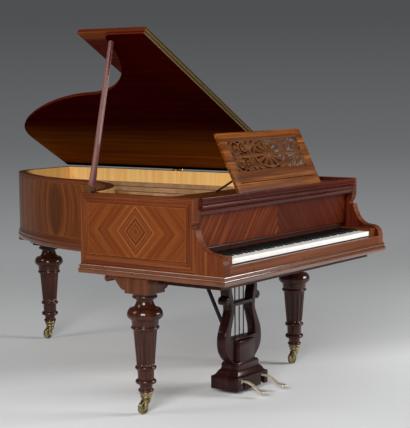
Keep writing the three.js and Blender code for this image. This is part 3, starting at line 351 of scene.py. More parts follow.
class Nodes:
    """Short calls that add nodes to a tree."""

    def __init__(self, tree):
        self.tree = tree
        tree.nodes.clear()

    def give(self, socket, value):
        if isinstance(value, Value):
            self.tree.links.new(value.socket, socket)
        else:
            socket.default_value = value

    def node(self, kind, inputs, out=0, **settings):
        """Adds a node and returns one output, or a list where several are named."""
        made = self.tree.nodes.new("ShaderNode" + kind)
        for key, value in settings.items():
            setattr(made, key, value)
        for key, value in inputs.items():
            self.give(made.inputs[key], value)
        if isinstance(out, tuple):
            return [Value(self, made.outputs[key]) for key in out]
        return Value(self, made.outputs[out])

    def math(self, operation, *values):
        return self.node("Math", dict(enumerate(values)), operation=operation)

    def split(self, vector):
        return self.node("SeparateXYZ", {0: vector}, (0, 1, 2))

    def ramp(self, value, stops):
        made = self.tree.nodes.new("ShaderNodeValToRGB")
        self.give(made.inputs[0], value)
        elements = made.color_ramp.elements
        while len(elements) < len(stops):
            elements.new(0.5)
        for element, (position, colour) in zip(elements, stops):
            element.position = position
            element.color = colour
        return Value(self, made.outputs[0])


SHEEN_TONE = (1, 0.72, 0.55, 1)


class Graph(Nodes):
    """The nodes of a new material."""

    def __init__(self, name):
        self.material = bpy.data.materials.new(name)
        self.material.use_nodes = True
        super().__init__(self.material.node_tree)
        self.shader = self.tree.nodes.new("ShaderNodeBsdfPrincipled")
        self.surface = self.tree.nodes.new("ShaderNodeOutputMaterial").inputs["Surface"]
        self.tree.links.new(self.shader.outputs[0], self.surface)
        self.place, self.normal, self.run = self.node("TexCoord", {}, ("Object", "Normal", "UV"))
        self.relief = None

    def set(self, **values):
        for key, value in values.items():
            self.give(self.shader.inputs[key.replace("_", " ")], value)

    def noise(self, vector, stretch, detail=2, roughness=0.5):
        scaled = self.node("VectorMath", {0: vector, 1: stretch}, operation="MULTIPLY")
        inputs = {"Vector": scaled, "Scale": 1, "Detail": detail, "Roughness": roughness}
        return self.node("TexNoise", inputs)

    def mix(self, share, a, b):
        return self.node("Mix", {0: share, 6: a, 7: b}, 2, data_type="RGBA")

    def inside(self, value, low, high):
        return (value > low) * (value < high)

    def between(self, value, low, high):
        """Rises smoothly from 0 at low to 1 at high."""
        inputs = {"Value": value, "From Min": low, "From Max": high}
        return self.node("MapRange", inputs, interpolation_type="SMOOTHSTEP")

    def bump(self, height, distance, strength):
        inputs = {"Strength": strength, "Distance": distance, "Height": height}
        self.set(Normal=self.node("Bump", inputs))

    def shades(self, value, swing, tones):
        """Tones from dark to light, spread evenly about 0.5."""
        last = len(tones) - 1
        return self.ramp(value, [(0.5 + swing * (2 * k / last - 1), srgb(*tone))
                                 for k, tone in enumerate(tones)])

    def grain(self, place, tones, seed=0.0, spread=1.0, contrast=1.0):
        """Wood whose grain runs along the first axis of its place, in metres."""
        x, y, z = [axis + seed for axis in place]
        where = self.node("CombineXYZ", {0: x, 1: y, 2: z})
        broad = self.noise(where, (1.1, 34 * spread, 34), 3, 0.6)
        streak = self.noise(where, (2.0, 150 * spread, 150), 2, 0.6)
        fine = self.noise(where, (8, 560, 560))
        self.relief = self.relief or fine
        return self.shades(broad * 0.44 + streak * 0.38 + fine * 0.18, 0.2 / contrast, tones)

    def polish(self, colour, roughness=0.3, coat=0.06, specular=0.1):
        """Lacquer over the wood's own relief. Returns the material."""
        uneven = self.noise(self.place, (9, 9, 9))
        self.set(Base_Color=colour, Roughness=uneven * 0.14 + roughness - 0.07)
        self.set(Specular_IOR_Level=specular, Specular_Tint=SHEEN_TONE)
        self.set(Coat_Weight=coat, Coat_Roughness=0.1)
        self.bump(self.relief, 0.0001, 0.4)
        return self.material


# Tones of wood, dark to light, that serve more than once or within a veneer
ROSEWOOD = ((64, 29, 11), (98, 51, 21), (132, 80, 38))
PANEL = ((74, 32, 12), (102, 50, 21), (136, 80, 38))
FRAME_WOOD = ((54, 23, 11), (92, 44, 22), (132, 75, 41))
FALL_WOOD = ((46, 9, 3), (86, 29, 5), (150, 76, 24))
RAIL_WOOD = ((40, 7, 3), (62, 16, 6), (90, 32, 15))
INNER_RED = ((48, 13, 8), (76, 26, 14), (110, 46, 27))
MAHOGANY = ((30, 10, 7), (52, 22, 14), (82, 41, 26))
LID_DARK = ((28, 1, 1), (42, 3, 2), (58, 8, 4))
# Painted reflected light: orange-brown tones on the lid's underside beside the hinges
LID_REFLECTED_LIGHT = ((88, 42, 7), (122, 65, 14), (154, 90, 26))
# Flap underside: painted light at its free tip over darker tones towards the lid, which partly paint shade
FLAP_DARK = ((44, 14, 10), (64, 24, 17), (84, 36, 24))
FLAP_LIT = ((84, 38, 16), (112, 58, 26), (138, 80, 40))
# Painted grazing light: olive tones on the lid's front edges
EDGE_OLIVE_LIT = ((44, 34, 20), (66, 54, 34), (88, 74, 48))
SATINWOOD = ((234, 168, 88), (250, 197, 118), (255, 224, 152))
# Painted shadow of the gap at the lid's hinge edge
HINGE_GAP_SHADOW = srgb(14, 6, 4)
# Painted highlight lines along the lower edge of each leaf
EDGE_HIGHLIGHT = srgb(118, 100, 62)
LIGHT_LINE = srgb(176, 108, 58)
DARK_LINE = srgb(48, 22, 13)


def plain_wood(name, axis, seed, tones, roughness=0.3, coat=0.06):
    graph = Graph(name)
    x, y, z = graph.split(graph.place)
    place = {"x": (x, z, y), "y": (y, z, x), "z": (z, x, y)}[axis]
    return graph.polish(graph.grain(place, tones, seed), roughness, coat)


def run_wood(name, seed, tones):
    """Wood whose grain follows a piece's own run."""
    graph = Graph(name)
    return graph.polish(graph.grain(graph.split(graph.run), tones, seed), 0.22, 1.0)


# Quartered panels: the grain mirrors about both middles, so that it forms nested diamonds
DIAMOND_WIDE = 0.102
DIAMOND_HIGH = 0.112
LINE_WIDTH = 0.003
DIAMOND_LINES = (
    (1.0, LIGHT_LINE, 0.6),
    (0.93, DARK_LINE, 0.6),
    (0.82, LIGHT_LINE, 0.25),
    (0.62, LIGHT_LINE, 0.45),
    (0.55, DARK_LINE, 0.5),
    (0.4, LIGHT_LINE, 0.3),
    (0.2, LIGHT_LINE, 0.25),
)
BAND_LINES = ((0.0, 0.003, DARK_LINE, 0.6), (-0.003, 0.0, LIGHT_LINE, 0.15), (0.03, 0.0325, DARK_LINE, 0.5))


def rising(u, v, slope, deep=0.0):
    """A place in veneer whose grain rises at a slope."""
    share = 1 / math.hypot(1, slope)
    return (u - v * slope) * share, (u * slope + v) * share, deep


def diamond(graph, u, v):
    far, high = abs(u), abs(v)
    place = rising(far, high, DIAMOND_HIGH / DIAMOND_WIDE)
    colour = graph.grain(place, PANEL, 0.37, 1.5)
    reach = far * (1 / DIAMOND_WIDE) + high * (1 / DIAMOND_HIGH)
    colour = graph.mix((reach < 1.0) * 0.35, colour, graph.grain(place, FRAME_WOOD, 1.9, 1.8))
    thin = LINE_WIDTH / DIAMOND_WIDE
    for edge, tone, share in DIAMOND_LINES:
        colour = graph.mix(graph.inside(reach, edge - thin, edge) * share, colour, tone)
    return colour


def flame(graph, u, v):
    """Upright mirrored veneer with nested arches and a darker heart."""
    colour = graph.grain((v, abs(u) + v * v * 1.6, 0.0), ROSEWOOD, 0.83, 0.8)
    outside = graph.between(u * u * 90.0 + v * v * 30.0, 0.2, 1.0)
    return graph.mix(outside * -0.55 + 0.55, colour, DARK_LINE)


PANEL_Z = 0.8345
PANEL_HIGH = 0.117
GOLD_FROM = 0.43 - MIDDLE.y
EDGE_COAT = 0.02
EDGE_ROUGHNESS = 0.55
PANEL_COAT = 0.03
PANEL_ROUGHNESS = 0.28


def framed_panel(name, axis, middle, half, outward, figure):
    """Veneer for a wall: a figured panel in a banded frame, plain edges and gold inside the case."""
    graph = Graph(name)
    x, y, z = graph.split(graph.place)
    across, through, start = (x, y, MIDDLE.x) if axis == "x" else (y, x, MIDDLE.y)
    u = across + (start - middle)
    v = z - PANEL_Z
    colour = figure(graph, u, v)
    beyond_u = abs(u) - half[0]
    beyond_v = abs(v) - half[1]
    beyond = graph.math("MAXIMUM", beyond_u, beyond_v)
    swap = (v - u) * (beyond_u > beyond_v)
    colour = graph.mix(beyond > 0.0, colour, graph.grain((u + swap, v - swap, 0.0), FRAME_WOOD, 0.71))
    for low, high, tone, share in BAND_LINES:
        colour = graph.mix(graph.inside(beyond, low, high) * share, colour, tone)
    edge = graph.grain((u, through, z), FRAME_WOOD, 0.13)
    colour = graph.mix(abs(graph.split(graph.normal)[2]) > 0.6, colour, edge)
    red = graph.grain((z, u, 0.0), INNER_RED, 2.3)
    gold = graph.grain((z, u, 0.0), SATINWOOD, 1.1, 1.2)
    facing = graph.node("VectorMath", {0: graph.normal, 1: outward}, "Value", operation="DOT_PRODUCT")
    colour = graph.mix(facing < -0.3, colour, graph.mix(y > GOLD_FROM, red, gold))
    flat = graph.between(abs(facing), 0.85, 0.98)
    roughness = flat * (PANEL_ROUGHNESS - EDGE_ROUGHNESS) + EDGE_ROUGHNESS
    return graph.polish(colour, roughness, flat * (PANEL_COAT - EDGE_COAT) + EDGE_COAT)


CHEVRON_SLOPE = 1.25
SEAM_HALF = 0.0012


def chevron_wood(name, middle, seed):
    """Veneer in two mirrored halves that rise to a seam."""
    graph = Graph(name)
    x, y, z = graph.split(graph.place)
    side = x + (MIDDLE.x - middle)
    place = rising(abs(side), z, CHEVRON_SLOPE, y)
    colour = graph.grain(place, FALL_WOOD, seed, 1.6, 1.3)
    colour = graph.mix((side > 0.0) * 0.75, colour, graph.grain(place, RAIL_WOOD, seed, 1.1))
    return graph.polish(graph.mix((abs(side) < SEAM_HALF) * 0.7, colour, DARK_LINE))


# Painted highlight lines: their pitch and height on the front edges
LEAF_PITCH = 0.0183
LEAF_HIGHLIGHT_LINE = 0.004


def lid_wood(name, lit_tones, dark_tones, low, high):
    """Lid veneer: painted reflected light beside the hinges and dark beyond, a painted shadow along the
    hinge edge, front edges in olive of painted grazing light with painted highlight lines, and brown sides.
    """
    graph = Graph(name)
    x, y, z = graph.split(graph.place)
    _, front, top = graph.split(graph.normal)
    # Painted light beside the hinges, fading into the dark tones beyond
    lit_grain = graph.grain((y, x, z), lit_tones, 0.8)
    colour = graph.mix(graph.between(x, low, high), graph.grain((y, x, z), dark_tones, 0.8), lit_grain)
    # Painted shadow along the hinge edge
    colour = graph.mix(graph.between(x, -0.05, -0.035), colour, HINGE_GAP_SHADOW)
    colour = graph.mix(abs(top) < 0.85, colour, graph.grain((y, z, x), INNER_RED, 0.4))
    # Front edges: olive of painted grazing light, with a painted highlight line near each leaf's lower edge
    level = graph.math("PINGPONG", z - LEAF_HIGHLIGHT_LINE, LEAF_PITCH / 2)
    olive = graph.mix(level < 0.0013, graph.grain((x, z, y), EDGE_OLIVE_LIT, 0.2), EDGE_HIGHLIGHT)
    colour = graph.mix(front < -0.5, colour, olive)
    sheen = (top > 0.85) * 0.25
    graph.relief *= abs(top) > 0.85
    return graph.polish(colour, 0.3, sheen, sheen * 0.8)


def metal(name, roughness, tones, scale=60, relief=0.00008, metallic=1.0):
    graph = Graph(name)
    patina = graph.noise(graph.place, [scale] * 3, 4, 0.6)
    graph.set(Base_Color=graph.shades(patina, 0.15, tones), Metallic=metallic)
    graph.set(Roughness=patina * 0.2 + (roughness - 0.1))
    graph.bump(graph.noise(graph.place, [scale * 7] * 3), relief, 0.6)
    return graph.material


def smooth_surface(name, roughness, tones, coat=0.0):
    graph = Graph(name)
    tone = graph.noise(graph.place, (40, 40, 40), 3)
    graph.set(Base_Color=graph.shades(tone, 0.2, tones), Roughness=tone * 0.12 + (roughness - 0.06))
    graph.set(Coat_Weight=coat, Coat_Roughness=0.15, Specular_IOR_Level=0.12)
    graph.bump(graph.noise(graph.place, (480, 480, 480)), 0.00005, 0.4)
    return graph.material


cheek_veneer = framed_panel("cheek_veneer", "y", 0.4775, (0.2775, PANEL_HIGH), (-1, 0, 0), diamond)
spine_veneer = framed_panel("spine_veneer", "y", 1.125, (0.93, PANEL_HIGH), (1, 0, 0), diamond)
bent_veneer = framed_panel("bent_veneer", "y", 1.5, (1.2, 0.14), (-0.707, 0.707, 0), flame)
tail_veneer = framed_panel("tail_veneer", "x", 1.235, (0.13, PANEL_HIGH), (0, 1, 0), diamond)
chevron = chevron_wood("chevron_veneer", 0.715, 0.52)
slip_wood = plain_wood("keyslip_wood", "x", 0.3, ((74, 33, 17), (100, 52, 27), (126, 72, 40)))
block_top_wood = plain_wood("key_block_wood", "y", 0.6, ROSEWOOD)
rail_wood = plain_wood("rail_wood", "x", 0.7, RAIL_WOOD, 0.26, 0.1)
shelf_wood = plain_wood("shelf_wood", "x", 1.7, ROSEWOOD)
moulding_wood = run_wood("moulding_wood", 1.4, (FRAME_WOOD[0], ROSEWOOD[1], FRAME_WOOD[1]))
leg_wood = plain_wood("leg_mahogany", "z", 0.2, MAHOGANY, 0.24, 0.5)
keybed_wood = plain_wood("keybed_wood", "x", 0.3, MAHOGANY)
corbel_wood = plain_wood("corbel_wood", "z", 0.9, ((58, 29, 18), (82, 46, 29), (108, 66, 44)))
lyre_wood = plain_wood("lyre_mahogany", "z", 0.5, ((20, 8, 9), (34, 14, 13), (56, 26, 22)), 0.28, 0.25)
lid_main = lid_wood("lid_veneer", LID_REFLECTED_LIGHT, LID_DARK, -0.6, -0.1)
lid_front = lid_wood("flap_veneer", FLAP_LIT, FLAP_DARK, -1.33, -1.45)
desk_wood = plain_wood("desk_walnut", "x", 0.4, ((36, 12, 3), (94, 45, 10), (172, 106, 38)), 0.36, 0.0)
# Fretwork: walnut tones darkened to paint the shade of its deep openings, partly the wood's own colour
shaded_fret_wood = plain_wood("fret_walnut", "x", 0.9, ((46, 21, 7), (82, 43, 14), (124, 74, 31)), 0.4, 0.0)
desk_strut_wood = plain_wood("strut_wood", "y", 0.4, MAHOGANY)
prop_wood = plain_wood("prop_wood", "z", 0.3, ((84, 46, 43), (100, 60, 57), (120, 80, 78)), 0.4, 0.15)
spruce = plain_wood("spruce", "y", 0.1, ((176, 132, 90), (204, 164, 118), (226, 192, 146)), 0.4, 0.2)
pine = plain_wood("pine", "x", 0.1, ((120, 84, 52), (150, 112, 74), (176, 140, 98)), 0.6, 0.0)
brass = metal("brass", 0.32, ((112, 98, 64), (170, 156, 114)))
aged_brass = metal("aged_brass", 0.45, ((62, 42, 26), (98, 70, 42)))
bright_brass = metal("bright_brass", 0.26, ((178, 140, 76), (222, 188, 118)))
pedal_brass = metal("pedal_brass", 0.3, ((204, 190, 158), (240, 230, 204)), metallic=0.6)
bronze = metal("bronze_casting", 0.5, ((158, 118, 80), (184, 144, 104)), 20, 0.0003, 0.35)
wire = metal("string_wire", 0.3, ((170, 150, 124), (204, 186, 160)))
copper = metal("copper_wire", 0.3, ((160, 98, 62), (196, 130, 86)))
dark_steel = metal("dark_steel", 0.3, ((44, 42, 44), (80, 78, 80)))
ivory = smooth_surface("ivory", 0.3, ((240, 237, 229), (250, 249, 246)), 0.2)
ebony = smooth_surface("ebony", 0.45, ((5, 5, 5), (12, 11, 11)))
felt = smooth_surface("felt", 0.9, ((34, 24, 24), (58, 40, 38)))
black_wood = smooth_surface("black_wood", 0.35, ((12, 9, 8), (26, 20, 18)), 0.3)

# CAD nodes that stay: material, then edge width in millimetres and steps where the edges are rounded
NODE_LOOKS = {
    "cheek_left": (cheek_veneer, 5, 4),
    "spine_side": (spine_veneer, 5, 4),
    "bentside": (bent_veneer, 2, 2),
    "tail_board": (tail_veneer, 2, 2),
    "rim_liner": (pine,),
    "bottom_frame": (pine, 2, 1),
    "soundboard": (spruce,),
    "keybed": (keybed_wood, 2, 2),
    "keyslip": (slip_wood, 2.5, 3),
    "key_block_left": (block_top_wood, 4, 3),
    "key_block_right": (block_top_wood, 4, 3),
    "wrest_plank": (pine, 1, 1),
    "hammer_rail": (felt,),
    "dampers": (black_wood,),
    "bridge": (pine, 3, 2),
    "iron_frame": (bronze, 1.8, 2),
    # The nameboard strip is dark to paint the shade between the fallboard and the keys
    "nameboard_strip": (keybed_wood,),
    "fallboard": (chevron, 2, 2),
    "music_shelf": (shelf_wood, 2, 2),
    "desk_strut": (desk_strut_wood, 1, 2),
    "short_prop": (black_wood, 1, 2),
    "prop_bracket": (aged_brass, 0.8, 2),
    "lyre_brace": (black_wood, 2, 2),
}


def soften(node, width, steps):
    """Rounds the edges of a CAD node and shades its curved faces smoothly."""
    shade(node.data, 30)
    flat = node.modifiers.new("flats", "DECIMATE")
    flat.decimate_type = "DISSOLVE"
    flat.angle_limit = math.radians(1)
    flat.delimit = {"SHARP"}
    bevel = node.modifiers.new("edges", "BEVEL")
    bevel.width = width * MM
    bevel.segments = steps
    bevel.limit_method = "ANGLE"
    bevel.angle_limit = math.radians(50)
    bevel.harden_normals = True


for name, (material, *edge) in NODE_LOOKS.items():
    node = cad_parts[name]
    node.data.materials.clear()
    node.data.materials.append(material)
    if edge:
        soften(node, *edge)

# Case outline, anticlockwise from the player's left front corner
BENT_SHARES = [
    (0, 0), (0.191, 0.011), (0.379, 0.18), (0.397, 0.383), (0.41, 0.529),
    (0.477, 0.707), (0.578, 0.865), (0.624, 0.936), (0.681, 1), (0.752, 1),
]
BEHIND_CHEEK = CASE_LENGTH - CHEEK_LENGTH


def bent_curve():
    controls = [(x * CASE_WIDTH, CHEEK_LENGTH + y * BEHIND_CHEEK) for x, y in BENT_SHARES]
    found = controls[:1]
    for i in range(0, len(controls) - 1, 3):
        found += curve(20, *controls[i:i + 4])
    return found[::-1]


OUTLINE = [(0, 0), (CASE_WIDTH, 0), (CASE_WIDTH, CASE_LENGTH), *bent_curve()]

# Base moulding: a torus below a bead, drawn as reach and height
MOULDING = [
    (0.4, 628), (6, 628), *curve(4, (6, 628), (10, 629), (10, 634)), (10, 646),
    *curve(5, (10, 646), (10, 652.5), (6, 653.5)), (3.8, 654), (3.8, 656),
    *curve(4, (3.8, 656), (6.4, 656.5), (6.4, 660)), *curve(6, (6.4, 660), (6.4, 668.5), (1.5, 670.6)),
    (0.4, 671),
]


def add_base_moulding():
    loops = [[(x, y, z) for x, y in offset(OUTLINE, reach)] for reach, z in MOULDING]
    run = []
    for k, loop in enumerate(loops):
        far = 0
        for i, point in enumerate(loop):
            far += math.dist(point, loop[i - 1]) if i else 0
            run.append((far * MM, k * 3 * MM))
    piece("base_moulding_profile", stack(loops, closed=True), moulding_wood,
          node="base_moulding", run=run)


# Front rail of the music shelf: a fascia, a bead and a hollow below it
def add_front_rail():
    profile = [
        (152, 995), (144, 995), *curve(4, (144, 995), (141, 995), (141, 992)), (141, 971),
        *curve(4, (141, 971), (141, 968), (144.5, 967)), (146, 965.5), (146, 963),
        (141, 962), *curve(5, (141, 962), (137.8, 961), (137.8, 957)),
        *curve(5, (137.8, 957), (137.8, 950), (142, 948)), (145, 947), (145, 944),
        *curve(8, (145, 944), (157.5, 941), (158, 920)), (170, 920), (170, 962), (152, 962),
    ]
    ends = (WALL + 0.4, CASE_WIDTH - WALL - 0.4)
    piece("front_rail_profile", stack([[(x, y, z) for y, z in profile] for x in ends]), rail_wood,
          node="front_rail")


# Lid and its folded front leaf
LID_HOME = home_at(1414, 0, 999, "Y", 30)
LID_THICKNESS = 18
LID_REACH = 10
LID_SPLIT = 560
LID_HINGE_EDGE = -5
LID_FREE_EDGE = -LID_REACH - 1414
LID_CORNER = 55
FLAP_LENGTH = 415
FLAP_CORNER = 20
LID_EDGE = [
    (4, 0), (1.4, 0.7), (0.3, 2), (0, 4), (0, 7), (0.4, 8.2), (2.6, 8.6), (2.6, 10.2), (0.6, 10.6),
    (0, 12), (0, 14), (0.5, 16), (1.8, 17.4), (4, 18),
]


def rounded_corner(points, index, radius):
    corner = points[index]
    before, after = points[index - 1], points[(index + 1) % len(points)]
    start, end = toward(corner, before, radius), toward(corner, after, radius)
    return points[:index] + [start] + curve(10, start, corner, end) + points[index + 1:]


def add_lid():
    contour = [(x - 1414, y) for x, y in offset(OUTLINE, LID_REACH)[3:]]
    back = CASE_LENGTH + LID_REACH
    points = [(LID_HINGE_EDGE, LID_SPLIT), (LID_HINGE_EDGE, back), *contour,
              (LID_FREE_EDGE, LID_SPLIT)]
    corner = len(points) - 2
    while math.dist(points[corner - 1], points[-2]) < LID_CORNER:
        points.pop(corner - 1)
        corner -= 1
    piece("lid_leaf", plate(rounded_corner(points, corner, LID_CORNER), LID_EDGE), lid_main,
          "lid", LID_HOME, 40)

    back = LID_SPLIT + FLAP_LENGTH
    points = [(LID_FREE_EDGE, LID_SPLIT + 0.3), (LID_HINGE_EDGE, LID_SPLIT + 0.3),
              (LID_HINGE_EDGE, back), (LID_FREE_EDGE, back)]
    levels = [(inset, z + LID_THICKNESS + 0.3) for inset, z in LID_EDGE]
    piece("lid_front_leaf", plate(rounded_corner(points, 3, FLAP_CORNER), levels), lid_front,
          "lid_flap", LID_HOME, 40)


# Lid hinges: five knuckles and a leaf with three screws
HINGE_LENGTH = 70
HINGE_SHARES = (0.33, 0.614)


def add_lid_hinges():
    pitch = HINGE_LENGTH / 5
    knuckle = lying(turned([(0.3, 3.2), (0.9, 4.4), (pitch - 0.9, 4.4), (pitch - 0.3, 3.2)], 20))
    screw = turned([(0, 4), (1, 3.6, 0.5), (1.2, 0.5)], 16)
    for name, share in zip(("front", "rear"), HINGE_SHARES):
        y = share * CASE_LENGTH - HINGE_LENGTH / 2
        parts = [shifted(knuckle, 1414, y + k * pitch, 999) for k in range(5)]
        parts.append(block(1384, 1413, y, y + HINGE_LENGTH, 995.3, 996.9, 0.5))
        parts += [shifted(screw, 1396, y + far, 996.8) for far in (12, 35, 58)]
        piece(f"lid_hinge_{name}_brass", combine(*parts), bright_brass,
              node=f"lid_hinge_{name}")


# Prop: a slotted bar that widens above its socket
PROP_FOOT = (21, 747, 1012.5)
LID_COS, LID_SIN = math.cos(math.radians(30)), math.sin(math.radians(30))
PROP_TIP = (1414 - 1375 * LID_COS - 4.5 * LID_SIN, 784, 999 + 1375 * LID_SIN - 4.5 * LID_COS)


def add_prop():
    span = [b - a for a, b in zip(PROP_FOOT, PROP_TIP)]
    length = math.hypot(*span)
    tilt = math.degrees(math.atan2(span[0], span[2]))
    lean = -math.atan2(span[1], math.hypot(span[0], span[2]))
    home = home_at(*PROP_FOOT, "Y", tilt) @ Matrix.Rotation(lean, 4, "X")
    side = [(9, -12), (9, 12), (9, 14), *curve(5, (9, 14), (13, 16), (13, 24)),
            *curve(8, (13, 24), (13, 60), (9, 105)), (9, length - 8), (8, length)]
    rim = side + [(-x, z) for x, z in reversed(side)]
    slot_top = length - 42
    slot = (arc(0, slot_top - 3.5, 3.5, 0, 180, 8) + arc(0, slot_top - 114.5, 3.5, 180, 360, 8))
    bar = board([rim, slot], "y", 0, 24, 1.6, 3)
    taper = moved(bar, lambda x, y, z: (x, y * (1 - 0.25 * min(max(z / length, 0), 1)), z))
    pin = shifted(lying(turned([(-8.8, 1.5), (8.8, 1.5)], 12), "x"), 0, 0, slot_top - 109)
    piece("prop_bar", combine(taper, pin), prop_wood, "lid_prop", home)


# Music desk, drawn flat: X across and Y up the desk, its front at the greatest Z
DESK_HOME = home_at(705, 166, 980.6, "X", 64)
DESK_HALF = 356
DESK_HEIGHT = 303
DESK_BACK_LAYER = 7.4
DESK_THICKNESS = 14
FRET_HALF = 296
FRET_LOW = 102
FRET_HIGH = 263
SLIT = (313, 51, 55)
STRUT_X = -253
ROSETTE_Y = 183
ROSETTE_HALF = (118, 64)
WEDGES = 12


def rectangle(half, low, high):
    return [(-half, low), (half, low), (half, high), (-half, high)]


def oval(share, start, end, steps):
    wide, high = ROSETTE_HALF
    return arc(0, ROSETTE_Y, wide * share, start, end, steps, high * share)


def crescent(start, end):
    """An opening round the rosette, pointed at both ends."""
    outer = []
    for k in range(9):
        angle = start + (end - start) * k / 8
        outer.append(oval(1.05 + 0.12 * math.sin(math.pi * k / 8), angle, angle, 1)[0])
    return outer + oval(1.05, end, start, 8)[1:-1]


def hook(x, y, radius, start, sweep, width):
    """A curved opening, widest in its middle."""
    outer, inner = [], []
    for k in range(19):
        t = k / 18
        angle = math.radians(start + sweep * t)
        half = width / 2 * (0.12 + 0.88 * math.sin(math.pi * t) ** 0.7)
        for side, points in ((half, outer), (-half, inner)):
            reach = radius * (1 - 0.18 * t) + side
            points.append((x + reach * math.cos(angle), y + reach * math.sin(angle)))
    return outer + inner[::-1]


def swung(x, y, degrees):
    """A point turned about the origin."""
    c, s = math.cos(math.radians(degrees)), math.sin(math.radians(degrees))
    return x * c - y * s, x * s + y * c


def leaf(x, y, degrees, long, wide):
    points = [swung(long * c, wide * signed_power(s, 1.4), degrees) for c, s in circle(16)]
    return [(x + a, y + b) for a, b in points]


# Openings of one quarter of the fretwork, from the rosette's middle
FRET_QUARTER = [
    hook(186, 40, 27, 200, 250, 12),
    hook(184, 40, 11, 20, 270, 8),
    hook(246, 42, 25, -60, 240, 12),
    hook(247, 40, 10, 120, 260, 8),
    leaf(216, 11, 0, 15, 4.5),
    leaf(216, 70, 0, 14, 5),
    leaf(284, 14, 60, 11, 4.5),
    leaf(284, 70, -45, 11, 5),
    leaf(152, 66, -35, 14, 5),
    leaf(150, 14, 75, 9, 4),
    leaf(108, 68, -18, 16, 4),
]


def fret_openings():
    found = []
    for k in range(WEDGES):
        middle = 360 / WEDGES * (k + 0.5)
        found.append(oval(0.93, middle - 6, middle + 6, 6) + oval(0.3, middle + 2, middle - 2, 2))
    for k in range(8):
        found.append(crescent(45 * k + 3, 45 * k + 42))
    for side in (1, -1):
        for row in (1, -1):
            found += [[(side * x, ROSETTE_Y + row * y) for x, y in points]
                      for points in FRET_QUARTER]
    return found


def add_desk():
    rim = rectangle(DESK_HALF, 0, DESK_HEIGHT)
    slit = rectangle(*SLIT)
    pocket = [(STRUT_X - 9, FRET_LOW), (STRUT_X - 9, 92), (STRUT_X + 9, 92), (STRUT_X + 9, FRET_LOW)]
    pocket_end = [(STRUT_X + 9, FRET_HIGH), (STRUT_X + 9, 285), (STRUT_X - 9, 285),
                  (STRUT_X - 9, FRET_HIGH)]
    behind = [(-FRET_HALF, FRET_LOW), *pocket, (FRET_HALF, FRET_LOW), (FRET_HALF, FRET_HIGH),
              *pocket_end, (-FRET_HALF, FRET_HIGH)]
    opening = rectangle(FRET_HALF, FRET_LOW, FRET_HIGH)
    fret = rectangle(FRET_HALF + 2, FRET_LOW - 2, FRET_HIGH + 2)
    front = DESK_THICKNESS - DESK_BACK_LAYER
    middle = DESK_BACK_LAYER + front / 2
    layers = combine(
        board([rim, behind, slit], "z", DESK_BACK_LAYER / 2, DESK_BACK_LAYER, 0.5, 1),
        board([rim, opening, slit], "z", middle, front, 2, 3),
    )
    fretwork = board([fret, *fret_openings()], "z", middle, 4.4, 0.9)
    boss = turned([(0, 13), (1.5, 12, 1.5), (4, 3, 0.6), (4.6, 0.4)], 32)
    for name, solid, wood in (
        ("desk_frame", layers, desk_wood),
        ("desk_fretwork", fretwork, shaded_fret_wood),
        ("desk_rosette_boss", shifted(boss, 0, ROSETTE_Y, middle + 2), shaded_fret_wood),
    ):
        piece(name, solid, wood, "music_desk", DESK_HOME)


# Legs: fluted turnings under square blocks with scroll brackets
LEG_PROFILE = [
    (101, 29), (101, 33, 2.5), (112, 33), (112, 31), (114, 29, -1), (136, 31),
    (137, 38, 10), (158, 38), (158, 36.5), (161, 37, -0.5), (202, 38.5), (202, 42),
    (204, 44, 5), (219, 44), (219, 41.5), (222, 41), (225, 41.3), (228, 41.5),
    (231, 41.8), (235, 42.1), (240, 42.5), (300, 47.3), (365, 52.5), (370, 52.9),
    (374, 53.2), (377, 53.5), (380, 53.8), (382, 54), (385, 54.5), (386, 58),
    (388, 58, 6.5), (402, 59), (402, 60), (404, 60.5, -1), (432, 64), (436, 70),
    (436, 72.5), (440, 74, 12), (484, 64), (484, 58, -9), (526, 43), (526, 44),
    (528, 53), (529, 54, 3), (541, 54), (541, 52), (552, 55),
]
FLUTES = 12
FLUTE_HALF_SHARE = 0.41
FLUTE_DEPTH = 6
FLUTE_LOW = 223.5
FLUTE_HIGH = 381.5
FLUTE_END = 13
LEG_STEPS = 192
LEG_BLOCK_LOW = 552
LEG_BLOCK_HIGH = 627.7
VOLUTE = (171.5, 611, 15.5)
LEGS = {
    "left": (72, 487, (90, 0)),
    "right": (1338, 487, (90, 180)),
    "rear": (1125, 2045, (180, 0)),
}


def flute(angle, z):
    across = abs((angle * FLUTES / TAU) % 1 - 0.5) / FLUTE_HALF_SHARE
    end = min(z - FLUTE_LOW, FLUTE_HIGH - z) / FLUTE_END
    if end <= 0 or across >= 1:
        return 0
    narrow = math.sqrt(1 - (1 - end) ** 2) if end < 1 else 1
    return FLUTE_DEPTH * math.sqrt(max(narrow ** 2 - across ** 2, 0))


def bracket(degrees):
    x, z, radius = VOLUTE
    under = smooth([(146, 616), (136, 613), (127, 607), (118, 599), (109, 587), (99, 577),
                    (90, 569), (80, 565), (66, 562), (52, 559)], 4)
    side = [(52, LEG_BLOCK_HIGH), (150, LEG_BLOCK_HIGH), *arc(x, z, radius, 95, -165, 28), *under]
    eye = lying(turned([(-2.6, 8), (0.6, 8, 1.4), (2.4, 5, 0.5), (2.8, 0.5)], 24))
    eyes = [moved(eye, lambda a, b, c, s=reach: (a + x, s + math.copysign(b, s), c + z))
            for reach in (59, -59)]
    solid = combine(board([side[::-1]], "y", 0, 118, 3.5, 3), *eyes)
    return moved(solid, lambda a, b, z: (*swung(a, b, degrees), z))


